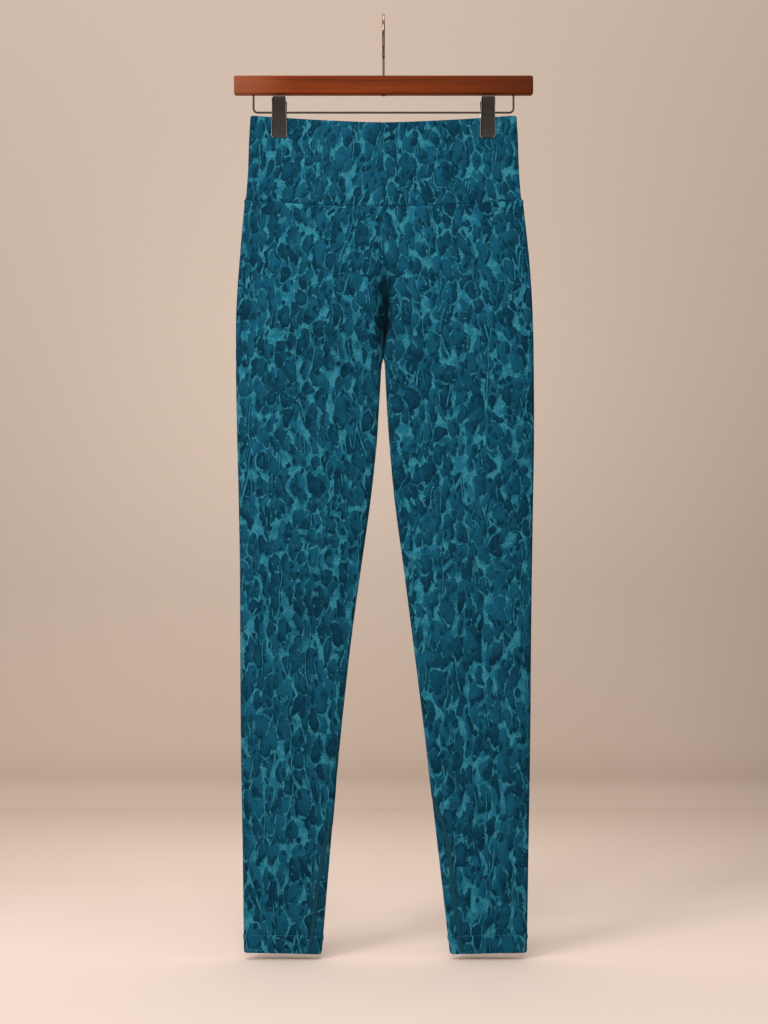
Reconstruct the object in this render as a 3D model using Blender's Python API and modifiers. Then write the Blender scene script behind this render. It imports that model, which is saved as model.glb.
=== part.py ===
"""High-waist leggings on a clip trouser hanger.

The origin is the inner crown of the hanger's hook, where a rail holds it. +Z is up, the front of
the leggings faces -Y, and +X is the wearer's left. Heights are written as distances down from the
crown. Cloth panels are lofted as outer surfaces and given their wall by Solidify.
"""

import math
from collections import namedtuple

import bmesh
import bpy
import numpy as np

MM = 0.001
GAP = 0.3 * MM
COLLECTION = "leggings_on_hanger"

# Hanger, in metres.
BAR_LENGTH = 355.6 * MM
BAR_DEPTH = 12.7 * MM
BAR_TOP = -70.4 * MM
BAR_HEIGHT = 22.2 * MM
BAR_EDGE = 2.4 * MM
HOOK_WIRE = 3.4 * MM
HOOK_INSIDE = 40.0 * MM
HOOK_NECK_BEND = 8.0 * MM
HOOK_TIP_ANGLE = math.radians(-25)
HOOK_TIP_TAPER = 0.7
STEM_WIRE = 2.6 * MM
STEM_HEAD = 5.2 * MM
STEM_HEAD_DEPTH = 1.2 * MM
STEM_HEAD_TAPER = 0.8
STEM_SHOULDER = 0.01 * MM
CLIP_WIRE = 2.4 * MM
CLIP_WIRE_DOWN = 113.6 * MM
CLIP_WIRE_HALF_SPAN = 154.7 * MM
CLIP_WIRE_BEND = 5.0 * MM
CLIP_WIRE_SOCKET = 13.0 * MM

# Clips: pressed plates with ears that pivot on the wire, and a torsion spring round it.
CLIP_CENTRE = 124.0 * MM
PLATE = 1.2 * MM
PLATE_BEVEL = 0.35 * MM
PLATE_EDGE_ANGLE = math.radians(50)
PLATE_COLUMNS = (-1.0, -0.5, 0.5, 1.0)
EAR = 1.0 * MM
EAR_RADIUS = 3.4 * MM
EAR_ROOT = 5.0 * MM
SPRING_WIRE = 0.8 * MM
SPRING_RADIUS = 2.9 * MM
SPRING_HALF_LENGTH = 4.6 * MM
SPRING_TURNS = 5
SPRING_STEPS = 10
SPRING_ARM_UP = 11.0 * MM
SPRING_ARM_GAP = 0.5 * MM
SPRING_ARM_BEND = 1.15 * SPRING_RADIUS
PIVOT_CUT = 22.0 * MM

# Rows down one clip plate: distance down, outer face's distance from the middle, half width (mm).
PlateRow = namedtuple("PlateRow", "down away half_width")
PLATE_ROWS = (
    PlateRow(96.7, 12.0, 7.6),
    PlateRow(97.5, 11.9, 8.1),
    PlateRow(113.6, 7.9, 8.5),
    PlateRow(138.0, 4.0, 9.4),
    PlateRow(141.6, 3.7, 9.5),
    PlateRow(143.1, 3.7, 9.1),
    PlateRow(143.9, 3.7, 8.0),
)
FINGER_ROW = PLATE_ROWS[1]
PIVOT_ROW = PLATE_ROWS[2]

# Cloth, in metres.
LEG_WALL = 1.2 * MM
HEM_WALL = 1.8 * MM
BAND_WALL = 1.9 * MM
HEM_HEIGHT = 21.5 * MM
HEM_SLANT = 1.8 * MM
HEM_STEP = 2.0 * MM

# A face is fullest along its crest and flattens to its folds by this power of the way to them. The
# crest moves from the middle of the body at the hips to the middle of each leg.
CREST = 3.0
CREST_FADE_START = 300.0 * MM
CREST_FADE_END = 430.0 * MM

# Waistband: its height falls towards the middle, at its top edge and at the seam.
BAND_TOP = 117.8 * MM
BAND_TOP_DIP = 8.3 * MM
BAND_TOP_HALF_WIDTH = 158.8 * MM
SEAM_DOWN = 217.6 * MM
SEAM_DIP = 8.2 * MM
SEAM_HALF_WIDTH = 164.4 * MM
SEAM_DIP_ENDS = 325.0 * MM
PINCH_HALF_DEPTH = 2.2 * MM
PINCH_HALF_WIDTH = 12.5 * MM
PINCH_INSIDE = 70.0 * MM
PINCH_OUTSIDE = 18.0 * MM
PINCH_DOWN = 146.0 * MM
PINCH_ENDS = 212.0 * MM

# Rows down the waistband: part of its height, half width, half depth at the middle, side fold (mm).
BandRow = namedtuple("BandRow", "share half_width half_depth fold")
BAND_ROWS = (
    BandRow(0.00, 158.4, 6.4, 2.8),
    BandRow(0.10, 159.0, 6.6, 2.8),
    BandRow(0.27, 160.0, 6.9, 2.9),
    BandRow(0.45, 160.6, 7.3, 3.0),
    BandRow(0.70, 161.6, 8.0, 3.2),
    BandRow(1.00, 163.9, 8.6, 3.4),
)
BAND_STEPS = (0.0, 0.16, 0.32, 0.47, 0.60, 0.70, 0.785, 0.86, 0.93)

# Rows down each leg: distance down, outer edge and inner edge from the middle (mm).
EdgeRow = namedtuple("EdgeRow", "down outer inner")
LEFT_EDGES = (
    EdgeRow(217.6, 164.9, 0.15),
    EdgeRow(253.0, 168.3, 0.15),
    EdgeRow(289.0, 172.0, 0.15),
    EdgeRow(325.0, 174.8, 0.15),
    EdgeRow(361.0, 176.8, 0.15),
    EdgeRow(407.0, 177.8, 0.15),
    EdgeRow(410.5, 177.8, 2.5),
    EdgeRow(418.0, 177.9, 4.1),
    EdgeRow(434.0, 177.9, 4.3),
    EdgeRow(468.0, 177.8, 4.6),
    EdgeRow(503.0, 177.6, 6.8),
    EdgeRow(575.0, 176.5, 14.0),
    EdgeRow(646.0, 175.4, 23.0),
    EdgeRow(718.0, 174.3, 32.0),
    EdgeRow(860.0, 173.1, 49.4),
    EdgeRow(1003.0, 170.9, 67.0),
    EdgeRow(1112.0, 169.2, 79.6),
)
RIGHT_EDGES = (
    EdgeRow(217.6, 164.9, 0.15),
    EdgeRow(253.0, 168.3, 0.15),
    EdgeRow(289.0, 171.2, 0.15),
    EdgeRow(325.0, 174.2, 0.15),
    EdgeRow(361.0, 175.6, 0.15),
    EdgeRow(407.0, 175.5, 0.15),
    EdgeRow(410.5, 175.4, 2.8),
    EdgeRow(418.0, 175.3, 4.9),
    EdgeRow(434.0, 175.1, 6.0),
    EdgeRow(468.0, 174.4, 7.4),
    EdgeRow(503.0, 173.6, 9.4),
    EdgeRow(575.0, 171.9, 17.6),
    EdgeRow(646.0, 171.0, 27.2),
    EdgeRow(718.0, 170.6, 37.0),
    EdgeRow(860.0, 169.6, 52.8),
    EdgeRow(1003.0, 167.4, 65.8),
    EdgeRow(1112.0, 165.8, 74.8),
)

# Rows down both legs: half depth in front and behind, fold radius at the inner and outer edge (mm),
# and how far the panel is closed at its inner edge (0 is open at the centre seam, 1 is a tube).
FormRow = namedtuple("FormRow", "down front back inner_fold outer_fold closed")
FORM_ROWS = (
    FormRow(217.6, 8.6, 8.6, 7.0, 3.4, 0.00),
    FormRow(289.0, 10.2, 11.4, 7.0, 3.6, 0.00),
    FormRow(325.0, 10.8, 12.6, 7.5, 3.8, 0.12),
    FormRow(361.0, 11.4, 13.2, 8.0, 3.8, 0.55),
    FormRow(385.0, 11.8, 13.2, 8.0, 3.8, 0.80),
    FormRow(400.0, 12.0, 13.0, 7.5, 3.8, 0.93),
    FormRow(407.0, 12.0, 12.9, 7.0, 3.8, 1.00),
    FormRow(434.0, 12.0, 12.6, 5.6, 3.8, 1.00),
    FormRow(503.0, 11.6, 12.0, 4.4, 3.8, 1.00),
    FormRow(646.0, 10.2, 10.6, 3.8, 3.6, 1.00),
    FormRow(789.0, 9.0, 9.0, 3.4, 3.4, 1.00),
    FormRow(932.0, 8.6, 9.0, 3.4, 3.4, 1.00),
    FormRow(1112.0, 7.4, 7.6, 3.4, 3.4, 1.00),
)
CROTCH_DOWN = 407.0 * MM

# Heights of the rings down a leg, from the waist seam to the hem.
UPPER_RINGS = (217.6, 236.0, 262.0, 289.0, 314.0, 338.0, 358.0, 374.0, 388.0, 399.0, 407.0)
CROTCH_RINGS = (410.5, 418.0, 432.0)
LOWER_RINGS = 14
HEM_BOTTOM = 1111.0
ARC_STEPS = 3
FACE_STEPS = 9

# Soft folds of the cloth, as troughs in one face: leg, face (-1 front, 1 back), place from the
# middle and down, lean from the level in degrees, half length, half width and depth (mm).
Fold = namedtuple("Fold", "leg face across down lean half_length half_width depth")
FOLDS = (
    Fold("right", -1, 68.0, 388.0, -10.0, 46.0, 13.0, 2.0),
    Fold("left", -1, 60.0, 392.0, 8.0, 34.0, 12.0, 1.2),
    Fold("right", -1, 96.0, 720.0, -6.0, 34.0, 26.0, 1.3),
    Fold("left", -1, 104.0, 742.0, 7.0, 32.0, 26.0, 1.2),
    Fold("right", 1, 74.0, 396.0, 14.0, 50.0, 14.0, 2.6),
    Fold("left", 1, 78.0, 400.0, -12.0, 48.0, 14.0, 2.4),
    Fold("right", 1, 92.0, 690.0, 8.0, 36.0, 24.0, 1.8),
    Fold("left", 1, 100.0, 706.0, -9.0, 36.0, 24.0, 1.6),
)


def clear_scene():
    for old in list(bpy.data.objects):
        bpy.data.objects.remove(old, do_unlink=True)


def new_collection(name):
    collection = bpy.data.collections.new(name)
    bpy.context.scene.collection.children.link(collection)
    return collection


def material(name, colour, roughness, metallic=0.0):
    made = bpy.data.materials.new(name)
    made.use_nodes = True
    shader = made.node_tree.nodes["Principled BSDF"]
    shader.inputs["Base Color"].default_value = (*colour, 1.0)
    shader.inputs["Roughness"].default_value = roughness
    shader.inputs["Metallic"].default_value = metallic
    return made


def add_object(name, data, collection, finish=None):
    made = bpy.data.objects.new(name, data)
    collection.objects.link(made)
    if finish:
        data.materials.append(finish)
    return made


def helper(made):
    """A cutter or a piece that is only joined to another: left out of the render."""
    made.hide_render = True
    made.display_type = "WIRE"
    return made


def boolean(target, other, operation):
    step = target.modifiers.new(operation.title(), "BOOLEAN")
    step.operation = operation
    step.solver = "EXACT"
    step.object = other


def fade(value, start, end):
    """1 up to start, then smoothly down to 0 at end."""
    part = np.clip((value - start) / (end - start), 0.0, 1.0)
    return 1 - part * part * (3 - 2 * part)


# ---------------------------------------------------------------- hanger


def box(name, size, centre, collection, finish=None):
    mesh = bpy.data.meshes.new(name)
    bm = bmesh.new()
    bmesh.ops.create_cube(bm, size=1.0)
    bmesh.ops.scale(bm, vec=size, verts=bm.verts)
    bmesh.ops.translate(bm, vec=centre, verts=bm.verts)
    bm.to_mesh(mesh)
    bm.free()
    return add_object(name, mesh, collection, finish)


def upright_cutter(name, radius, x, low, high, collection):
    mesh = bpy.data.meshes.new(name)
    bm = bmesh.new()
    bmesh.ops.create_cone(
        bm, cap_ends=True, segments=16, radius1=radius, radius2=radius, depth=high - low
    )
    bmesh.ops.translate(bm, vec=(x, 0, (low + high) / 2), verts=bm.verts)
    bm.to_mesh(mesh)
    bm.free()
    return helper(add_object(name, mesh, collection))


def wire(name, points, diameter, collection, finish, radii=None, resolution=2):
    """A round wire along points, with filled ends."""
    curve = bpy.data.curves.new(name, "CURVE")
    curve.dimensions = "3D"
    curve.bevel_depth = diameter / 2
    curve.bevel_resolution = resolution
    curve.use_fill_caps = True
    spline = curve.splines.new("POLY")
    spline.points.add(len(points) - 1)
    spline.use_smooth = True
    for index, point in enumerate(points):
        spline.points[index].co = (*point, 1.0)
        spline.points[index].radius = radii[index] if radii else 1.0
    return add_object(name, curve, collection, finish)


def arc(centre, radius, start, end, steps):
    """Points of an arc in a plane, as (across, up) pairs."""
    angles = np.linspace(start, end, steps + 1)
    return [(centre[0] + radius * math.cos(a), centre[1] + radius * math.sin(a)) for a in angles]


def build_bar(collection, cutters, finish):
    low = BAR_TOP - BAR_HEIGHT
    middle = (0, 0, low + BAR_HEIGHT / 2)
    bar = box("hanger_bar", (BAR_LENGTH, BAR_DEPTH, BAR_HEIGHT), middle, collection, finish)
    edges = bar.modifiers.new("Rounded edges", "BEVEL")
    edges.width = BAR_EDGE
    edges.segments = 3
    stem_bore = upright_cutter(
        "stem_bore", STEM_WIRE / 2 + GAP, 0, low - MM, BAR_TOP + MM, cutters
    )
    boolean(bar, stem_bore, "DIFFERENCE")
    for side, name in ((1, "left"), (-1, "right")):
        socket = upright_cutter(
            f"wire_socket_{name}",
            CLIP_WIRE / 2 + GAP,
            side * CLIP_WIRE_HALF_SPAN,
            low - MM,
            low + CLIP_WIRE_SOCKET + GAP,
            cutters,
        )
        boolean(bar, socket, "DIFFERENCE")


def hook_neck():
    """Height of the straight end of the hook, where a bend of HOOK_NECK_BEND meets its circle."""
    circle = (HOOK_INSIDE + HOOK_WIRE) / 2
    drop = math.sqrt(circle * circle + 2 * circle * HOOK_NECK_BEND)
    return -HOOK_INSIDE / 2 - drop


def build_hook(collection, finish):
    """A question-mark hook in the YZ plane, whose belly comes forward."""
    circle = (HOOK_INSIDE + HOOK_WIRE) / 2
    centre = (0.0, -HOOK_INSIDE / 2)
    neck = hook_neck()
    meet = math.atan2(centre[1] - neck, HOOK_NECK_BEND)
    bend = arc((-HOOK_NECK_BEND, neck), HOOK_NECK_BEND, 0, meet, 4)
    around = arc(centre, circle, meet + math.pi, HOOK_TIP_ANGLE, 22)
    path = [(0, y, z) for y, z in bend + around[1:]]
    radii = [1.0] * (len(path) - 1) + [HOOK_TIP_TAPER]
    return wire("hanger_hook", path, HOOK_WIRE, collection, finish, radii, resolution=3)


def build_stem(collection, finish):
    """The steel stem through the bar, with a riveted head under it."""
    low = BAR_TOP - BAR_HEIGHT - GAP
    heights = (hook_neck() - GAP, low + STEM_SHOULDER, low, low - STEM_HEAD_DEPTH)
    head = STEM_HEAD / STEM_WIRE
    radii = [1.0, 1.0, head, head * STEM_HEAD_TAPER]
    path = [(0, 0, z) for z in heights]
    return wire("hanger_stem", path, STEM_WIRE, collection, finish, radii, resolution=3)


def build_clip_wire(collection, finish):
    """The wire under the bar: both ends turn up into the wood."""
    top = BAR_TOP - BAR_HEIGHT + CLIP_WIRE_SOCKET
    side = CLIP_WIRE_HALF_SPAN
    bend = CLIP_WIRE_BEND
    corner = (side - bend, -CLIP_WIRE_DOWN + bend)
    right_bend = arc((-corner[0], corner[1]), bend, math.pi, 1.5 * math.pi, 4)
    left_bend = arc(corner, bend, 1.5 * math.pi, 2 * math.pi, 4)
    flat = [(-side, top)] + right_bend + left_bend + [(side, top)]
    return wire("hanger_wire", [(x, 0, z) for x, z in flat], CLIP_WIRE, collection, finish)


def plate_sheet(name, centre, side, collection, finish):
    """One bent plate of a clip: a strip whose rows narrow and lean in to the jaw."""
    points = [
        (centre + step * row.half_width * MM, side * row.away * MM, -row.down * MM)
        for row in PLATE_ROWS
        for step in PLATE_COLUMNS
    ]
    faces = []
    width = len(PLATE_COLUMNS)
    for row in range(len(PLATE_ROWS) - 1):
        for column in range(width - 1):
            a = row * width + column
            quad = (a, a + width, a + width + 1, a + 1)
            faces.append(quad if side < 0 else quad[::-1])
    mesh = bpy.data.meshes.new(name)
    mesh.from_pydata(points, [], faces)
    plate = add_object(name, mesh, collection, finish)
    wall = plate.modifiers.new("Plate", "SOLIDIFY")
    wall.thickness = PLATE
    wall.offset = -1
    wall.use_even_offset = True
    edges = plate.modifiers.new("Polished edges", "BEVEL")
    edges.width = PLATE_BEVEL
    edges.segments = 1
    edges.angle_limit = PLATE_EDGE_ANGLE
    return plate


def ear(name, x, side, cutters):
    """A tab from the plate round the wire, in the YZ plane, EAR thick and centred on x."""
    root = side * (PIVOT_ROW.away * MM - PLATE / 2)
    outer = arc((0, -CLIP_WIRE_DOWN), EAR_RADIUS, math.pi / 2, -math.pi / 2, 8)
    outline = [(root, -CLIP_WIRE_DOWN + EAR_ROOT)]
    outline += [(-side * y, z) for y, z in outer]
    outline += [(root, -CLIP_WIRE_DOWN - EAR_RADIUS)]
    mesh = bpy.data.meshes.new(name)
    bm = bmesh.new()
    corners = [bm.verts.new((x - EAR / 2, y, z)) for y, z in outline]
    face = bm.faces.new(corners)
    swept = bmesh.ops.extrude_face_region(bm, geom=[face])
    moved = [item for item in swept["geom"] if isinstance(item, bmesh.types.BMVert)]
    bmesh.ops.translate(bm, vec=(EAR, 0, 0), verts=moved)
    bmesh.ops.recalc_face_normals(bm, faces=bm.faces)
    bm.to_mesh(mesh)
    bm.free()
    return helper(add_object(name, mesh, cutters))


def pivot_cutter(name, centre, cutters):
    mesh = bpy.data.meshes.new(name)
    bm = bmesh.new()
    radius = CLIP_WIRE / 2 + GAP
    bmesh.ops.create_cone(
        bm, cap_ends=True, segments=16, radius1=radius, radius2=radius, depth=PIVOT_CUT
    )
    for vert in bm.verts:
        across, deep, along = vert.co
        vert.co = (centre + along, deep, -CLIP_WIRE_DOWN - across)
    bm.to_mesh(mesh)
    bm.free()
    return helper(add_object(name, mesh, cutters))


def build_clip(word, centre, collection, cutters, steel, spring_steel):
    """Two plates that pivot on the wire, the back one's ears inside the front one's, and a spring."""
    pivot = pivot_cutter(f"{word}_pivot", centre, cutters)
    outside = PIVOT_ROW.half_width * MM - EAR / 2 - GAP / 2
    for side, place, ear_at in ((-1, "front", outside), (1, "back", outside - EAR - GAP)):
        plate = plate_sheet(f"{word}_{place}", centre, side, collection, steel)
        for end in (-1, 1):
            tab = ear(f"{word}_{place}_ear_{end}", centre + end * ear_at, side, cutters)
            boolean(plate, tab, "UNION")
        boolean(plate, pivot, "DIFFERENCE")
    build_spring(f"{word}_spring", centre, collection, spring_steel)


def build_spring(name, centre, collection, finish):
    """A torsion spring round the wire, whose arms press the two finger plates apart."""
    turns = np.arange(SPRING_TURNS * SPRING_STEPS) / SPRING_STEPS
    angle = math.pi + turns * 2 * math.pi
    along = centre + SPRING_HALF_LENGTH * (2 * turns / SPRING_TURNS - 1)
    coil = [
        (x, SPRING_RADIUS * math.cos(a), -CLIP_WIRE_DOWN + SPRING_RADIUS * math.sin(a))
        for x, a in zip(along, angle)
    ]
    lean = (FINGER_ROW.away - PIVOT_ROW.away) / (PIVOT_ROW.down - FINGER_ROW.down)
    inner_face = PIVOT_ROW.away * MM + lean * SPRING_ARM_UP - PLATE
    reach = inner_face - SPRING_WIRE / 2 - SPRING_ARM_GAP
    top = -CLIP_WIRE_DOWN + SPRING_ARM_UP
    last_x = centre + SPRING_HALF_LENGTH
    leave = (last_x, SPRING_RADIUS / 2, -CLIP_WIRE_DOWN + SPRING_ARM_BEND)
    path = [(coil[0][0], -reach, top)] + coil + [leave, (last_x, reach, top)]
    return wire(name, path, SPRING_WIRE, collection, finish)


# ---------------------------------------------------------------- leggings


def read(rows, column, down):
    """A table column at each height, in metres, smooth through its rows."""
    heights = np.array([row.down for row in rows]) * MM
    values = np.array([getattr(row, column) for row in rows])
    slopes = np.gradient(values, heights)
    index = np.clip(np.searchsorted(heights, down) - 1, 0, len(rows) - 2)
    step = heights[index + 1] - heights[index]
    t = np.clip((down - heights[index]) / step, 0.0, 1.0)
    start, end = values[index], values[index + 1]
    cubic = (
        start * (1 + 2 * t) * (1 - t) ** 2
        + step * slopes[index] * t * (1 - t) ** 2
        + end * t * t * (3 - 2 * t)
        - step * slopes[index + 1] * t * t * (1 - t)
    )
    return np.clip(cubic, np.minimum(start, end), np.maximum(start, end))


def seam_dip(x, down):
    """How far the cloth hangs below its height at the side, from the waist seam to SEAM_DIP_ENDS."""
    bow = 1 - np.minimum(np.abs(x) / SEAM_HALF_WIDTH, 1.0) ** 2
    return SEAM_DIP * bow * fade(down, SEAM_DOWN, SEAM_DIP_ENDS)


def fold_relief(leg, face, x, down):
    """Depth of the soft folds in one face of a leg, at each point."""
    depth = np.zeros_like(x)
    for fold in FOLDS:
        if fold.leg != leg or fold.face != face:
            continue
        lean = math.radians(fold.lean)
        dx = x - fold.across * MM
        dz = down - fold.down * MM
        along = (dx * math.cos(lean) + dz * math.sin(lean)) / (fold.half_length * MM)
        over = (dz * math.cos(lean) - dx * math.sin(lean)) / (fold.half_width * MM)
        depth += fold.depth * MM * np.exp(-along * along - over * over)
    return depth


def face_columns(inner, outer, inner_fold, outer_fold):
    """Distances from the middle of one face's columns: a fold arc, the flat, a fold arc."""
    turn = np.linspace(0, math.pi / 2, ARC_STEPS + 1)
    inner_arc = inner[:, None] + inner_fold[:, None] * (1 - np.cos(turn))
    outer_arc = outer[:, None] - outer_fold[:, None] * (1 - np.cos(turn[::-1]))
    part = np.linspace(0, 1, FACE_STEPS + 1)[1:-1]
    flat = inner_arc[:, -1:] + (outer_arc[:, :1] - inner_arc[:, -1:]) * part
    return np.concatenate([inner_arc, flat, outer_arc], axis=1)


def leg_face(edges, leg, face, down):
    """Outer surface of the front or back of one leg, as grids of x, y and z from inside to outside."""
    inner = read(edges, "inner", down) * MM
    outer = read(edges, "outer", down) * MM
    inner_fold = read(FORM_ROWS, "inner_fold", down) * MM
    outer_fold = read(FORM_ROWS, "outer_fold", down) * MM
    closed = read(FORM_ROWS, "closed", down)[:, None]
    half = read(FORM_ROWS, "front" if face < 0 else "back", down)[:, None] * MM
    x = face_columns(inner, outer, inner_fold, outer_fold)
    inner, outer = inner[:, None], outer[:, None]
    inner_fold, outer_fold = inner_fold[:, None], outer_fold[:, None]

    # The fullest line of a face runs down the middle at the hips and down each leg below them.
    crown = 0.5 * (1 - fade(down, CREST_FADE_START, CREST_FADE_END))[:, None] * (inner + outer)
    outward = np.clip((x - crown) / (outer - crown), 0, 1) ** CREST
    inward = np.clip((crown - x) / np.maximum(crown - inner, MM), 0, 1) ** CREST
    depth = half - (half - outer_fold) * outward - closed * (half - inner_fold) * inward

    out_cap = np.clip(1 - (outer - x) / outer_fold, 0, 1)
    in_cap = np.clip(1 - (x - inner) / inner_fold, 0, 1)
    depth -= fold_relief(leg, face, x, np.broadcast_to(down[:, None], x.shape))
    depth = depth * np.sqrt(1 - out_cap**2) * np.sqrt(1 - closed * in_cap**2)

    part = (x - inner) / (outer - inner)
    near_hem = np.clip((down[:, None] - CROTCH_DOWN) / (HEM_BOTTOM * MM - CROTCH_DOWN), 0, 1)
    z = -down[:, None] - seam_dip(x, down[:, None]) - HEM_SLANT * (1 - part) * near_hem
    return x, face * depth, z


def leg_heights():
    """Heights of a leg's rings: the first lies a seam gap below the waistband."""
    top = np.array(UPPER_RINGS + CROTCH_RINGS) * MM
    top[0] += GAP
    hem = HEM_BOTTOM * MM - HEM_HEIGHT
    middle = np.linspace(top[-1], hem, LOWER_RINGS)[1:]
    end = np.array([hem + HEM_STEP, HEM_BOTTOM * MM])
    return np.concatenate([top, middle, end])


def grid_faces(index, turned):
    """Quads of a grid of vertex numbers."""
    a, b = index[:-1, :-1].ravel(), index[:-1, 1:].ravel()
    c, d = index[1:, 1:].ravel(), index[1:, :-1].ravel()
    order = (a, d, c, b) if turned else (a, b, c, d)
    return np.stack(order, axis=1).tolist()


def shell(name, points, faces, wall, collection, finish):
    """The outer surface of a piece of cloth, and its wall behind it."""
    mesh = bpy.data.meshes.new(name)
    mesh.from_pydata(points.tolist(), [], faces)
    mesh.shade_smooth()
    made = add_object(name, mesh, collection, finish)
    cloth = made.modifiers.new("Cloth wall", "SOLIDIFY")
    cloth.thickness = wall
    cloth.offset = -1
    return made, cloth


def build_leg(name, leg, side, edges, collection, finish):
    """A leg panel: from the centre-front seam round the outside to the centre-back seam."""
    down = leg_heights()
    front = leg_face(edges, leg, -1, down)
    back = leg_face(edges, leg, 1, down)
    x, y, z = (np.concatenate([f, b[:, -2::-1]], axis=1) for f, b in zip(front, back))
    points = np.stack([side * x, y, z], axis=2)
    index = np.arange(x.size).reshape(x.shape)
    tube = down > CROTCH_DOWN - GAP
    index[tube, -1] = index[tube, 0]
    used, faces = np.unique(np.array(grid_faces(index, side > 0)), return_inverse=True)
    faces = faces.reshape(-1, 4)
    made, cloth = shell(
        name, points.reshape(-1, 3)[used], faces.tolist(), HEM_WALL, collection, finish
    )
    thick = made.vertex_groups.new(name="hem_turn_up")
    hem_start = HEM_BOTTOM * MM - HEM_HEIGHT + HEM_STEP / 2
    for vert in made.data.vertices:
        weight = 1.0 if -vert.co.z > hem_start else LEG_WALL / HEM_WALL
        thick.add([vert.index], weight, "REPLACE")
    cloth.vertex_group = thick.name
    return made


def build_waistband(collection, finish):
    """The doubled waistband: one loop, pinched flat where the clips hold it."""
    column = {name: np.array([getattr(row, name) for row in BAND_ROWS]) for name in BandRow._fields}
    half_width = column["half_width"][:, None] * MM
    fold = column["fold"][:, None] * MM
    middle = column["half_depth"][:, None] * MM
    share = column["share"][:, None]

    # One quarter's columns, from the middle out: the flat stations, then the side fold.
    turn = np.linspace(math.pi / 2, 0, ARC_STEPS + 2)
    flat = np.array(BAND_STEPS) * (half_width - fold)
    x = np.concatenate([flat, half_width - fold * (1 - np.cos(turn))], axis=1)
    top = BAND_TOP + BAND_TOP_DIP * (1 - np.minimum(x / BAND_TOP_HALF_WIDTH, 1) ** 2)
    bottom = SEAM_DOWN + seam_dip(x, SEAM_DOWN)
    down = top + (bottom - top) * share

    open_depth = fold + (middle - fold) * (1 - (x / half_width) ** CREST)
    reach = np.abs(x - CLIP_CENTRE) - PINCH_HALF_WIDTH
    width = np.where(x < CLIP_CENTRE, PINCH_INSIDE, PINCH_OUTSIDE)
    pinch = fade(reach / width, 0.0, 1.0) * fade(down, PINCH_DOWN, PINCH_ENDS)
    depth = open_depth + (np.minimum(PINCH_HALF_DEPTH, open_depth) - open_depth) * pinch
    depth *= np.sqrt(1 - np.clip(1 - (half_width - x) / fold, 0, 1) ** 2)

    # The quarter is repeated round the loop: front left, back left, back right, front right.
    def around(values, signs):
        quarter = [values, values[:, -2::-1], values[:, 1:], values[:, -2:0:-1]]
        return np.concatenate([part * sign for part, sign in zip(quarter, signs)], axis=1)

    loop_x = around(x, (1, 1, -1, -1))
    loop_y = around(depth, (-1, 1, 1, -1))
    loop_z = around(down, (-1, -1, -1, -1))
    points = np.stack([loop_x, loop_y, loop_z], axis=2).reshape(-1, 3)
    index = np.arange(loop_x.size).reshape(loop_x.shape)
    index = np.concatenate([index, index[:, :1]], axis=1)
    return shell("waistband", points, grid_faces(index, True), BAND_WALL, collection, finish)[0]


def main():
    clear_scene()
    parts = new_collection(COLLECTION)
    cutters = new_collection("cutters")

    wood = material("reddish_wood", (0.235, 0.060, 0.020), 0.38)
    brass = material("brown_brass", (0.290, 0.150, 0.060), 0.22, 1.0)
    steel = material("grey_steel", (0.120, 0.110, 0.105), 0.30, 1.0)
    dark_steel = material("dark_clip_steel", (0.045, 0.040, 0.036), 0.42, 1.0)
    knit = material("teal_knit", (0.012, 0.085, 0.130), 0.80)
    band_knit = material("teal_knit_doubled", (0.014, 0.095, 0.145), 0.80)

    build_bar(parts, cutters, wood)
    build_hook(parts, brass)
    build_stem(parts, steel)
    build_clip_wire(parts, steel)
    for word, side in (("clip_left", 1), ("clip_right", -1)):
        build_clip(word, side * CLIP_CENTRE, parts, cutters, dark_steel, steel)

    build_waistband(parts, band_knit)
    build_leg("leg_left", "left", 1, LEFT_EDGES, parts, knit)
    build_leg("leg_right", "right", -1, RIGHT_EDGES, parts, knit)


main()
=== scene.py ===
# %% [markdown]
# # Leggings on a clip trouser hanger
#
# High-waist leggings in a printed stretch knit hang flat from two spring clips. The clips slide on
# a wire under a wooden bar, and a brass hook holds the whole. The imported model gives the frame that
# everything here is built in: metres, +Z up, the front of the leggings towards -Y, and the origin
# at the inner crown of the hook.

import math
from collections import namedtuple

import bpy
import numpy as np
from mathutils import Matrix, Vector


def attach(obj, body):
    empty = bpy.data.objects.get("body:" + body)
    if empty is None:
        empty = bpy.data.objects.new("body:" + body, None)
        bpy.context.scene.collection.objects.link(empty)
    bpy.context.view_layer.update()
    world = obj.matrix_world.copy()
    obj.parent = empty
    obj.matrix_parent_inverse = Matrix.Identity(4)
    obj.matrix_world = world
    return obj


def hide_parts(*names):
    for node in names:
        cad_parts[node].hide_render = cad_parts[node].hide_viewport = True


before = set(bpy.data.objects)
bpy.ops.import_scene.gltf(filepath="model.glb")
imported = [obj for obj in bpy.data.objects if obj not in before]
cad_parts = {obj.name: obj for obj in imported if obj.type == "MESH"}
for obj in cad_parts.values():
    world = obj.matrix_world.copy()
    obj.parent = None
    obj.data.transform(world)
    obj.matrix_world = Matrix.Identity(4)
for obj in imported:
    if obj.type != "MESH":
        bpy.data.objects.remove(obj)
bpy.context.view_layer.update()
scene = bpy.context.scene
MM = 0.001
print("nodes:", sorted(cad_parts))

# %% [markdown]
# ## The camera
#
# The garment is seen straight from the front, from about two metres away. A lens is worked out from
# how much height the frame has to take in at that distance, which is easier to measure than a focal
# length is. The camera looks level, halfway down the garment, so no edge leans.

# %% Set the camera
SENSOR = 36.0
CAMERA_AWAY = 2.0
CAMERA_RIGHT = 0.6 * MM
CAMERA_HEIGHT = -589.0 * MM
FRAME_HEIGHT = 1219.0 * MM

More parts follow.
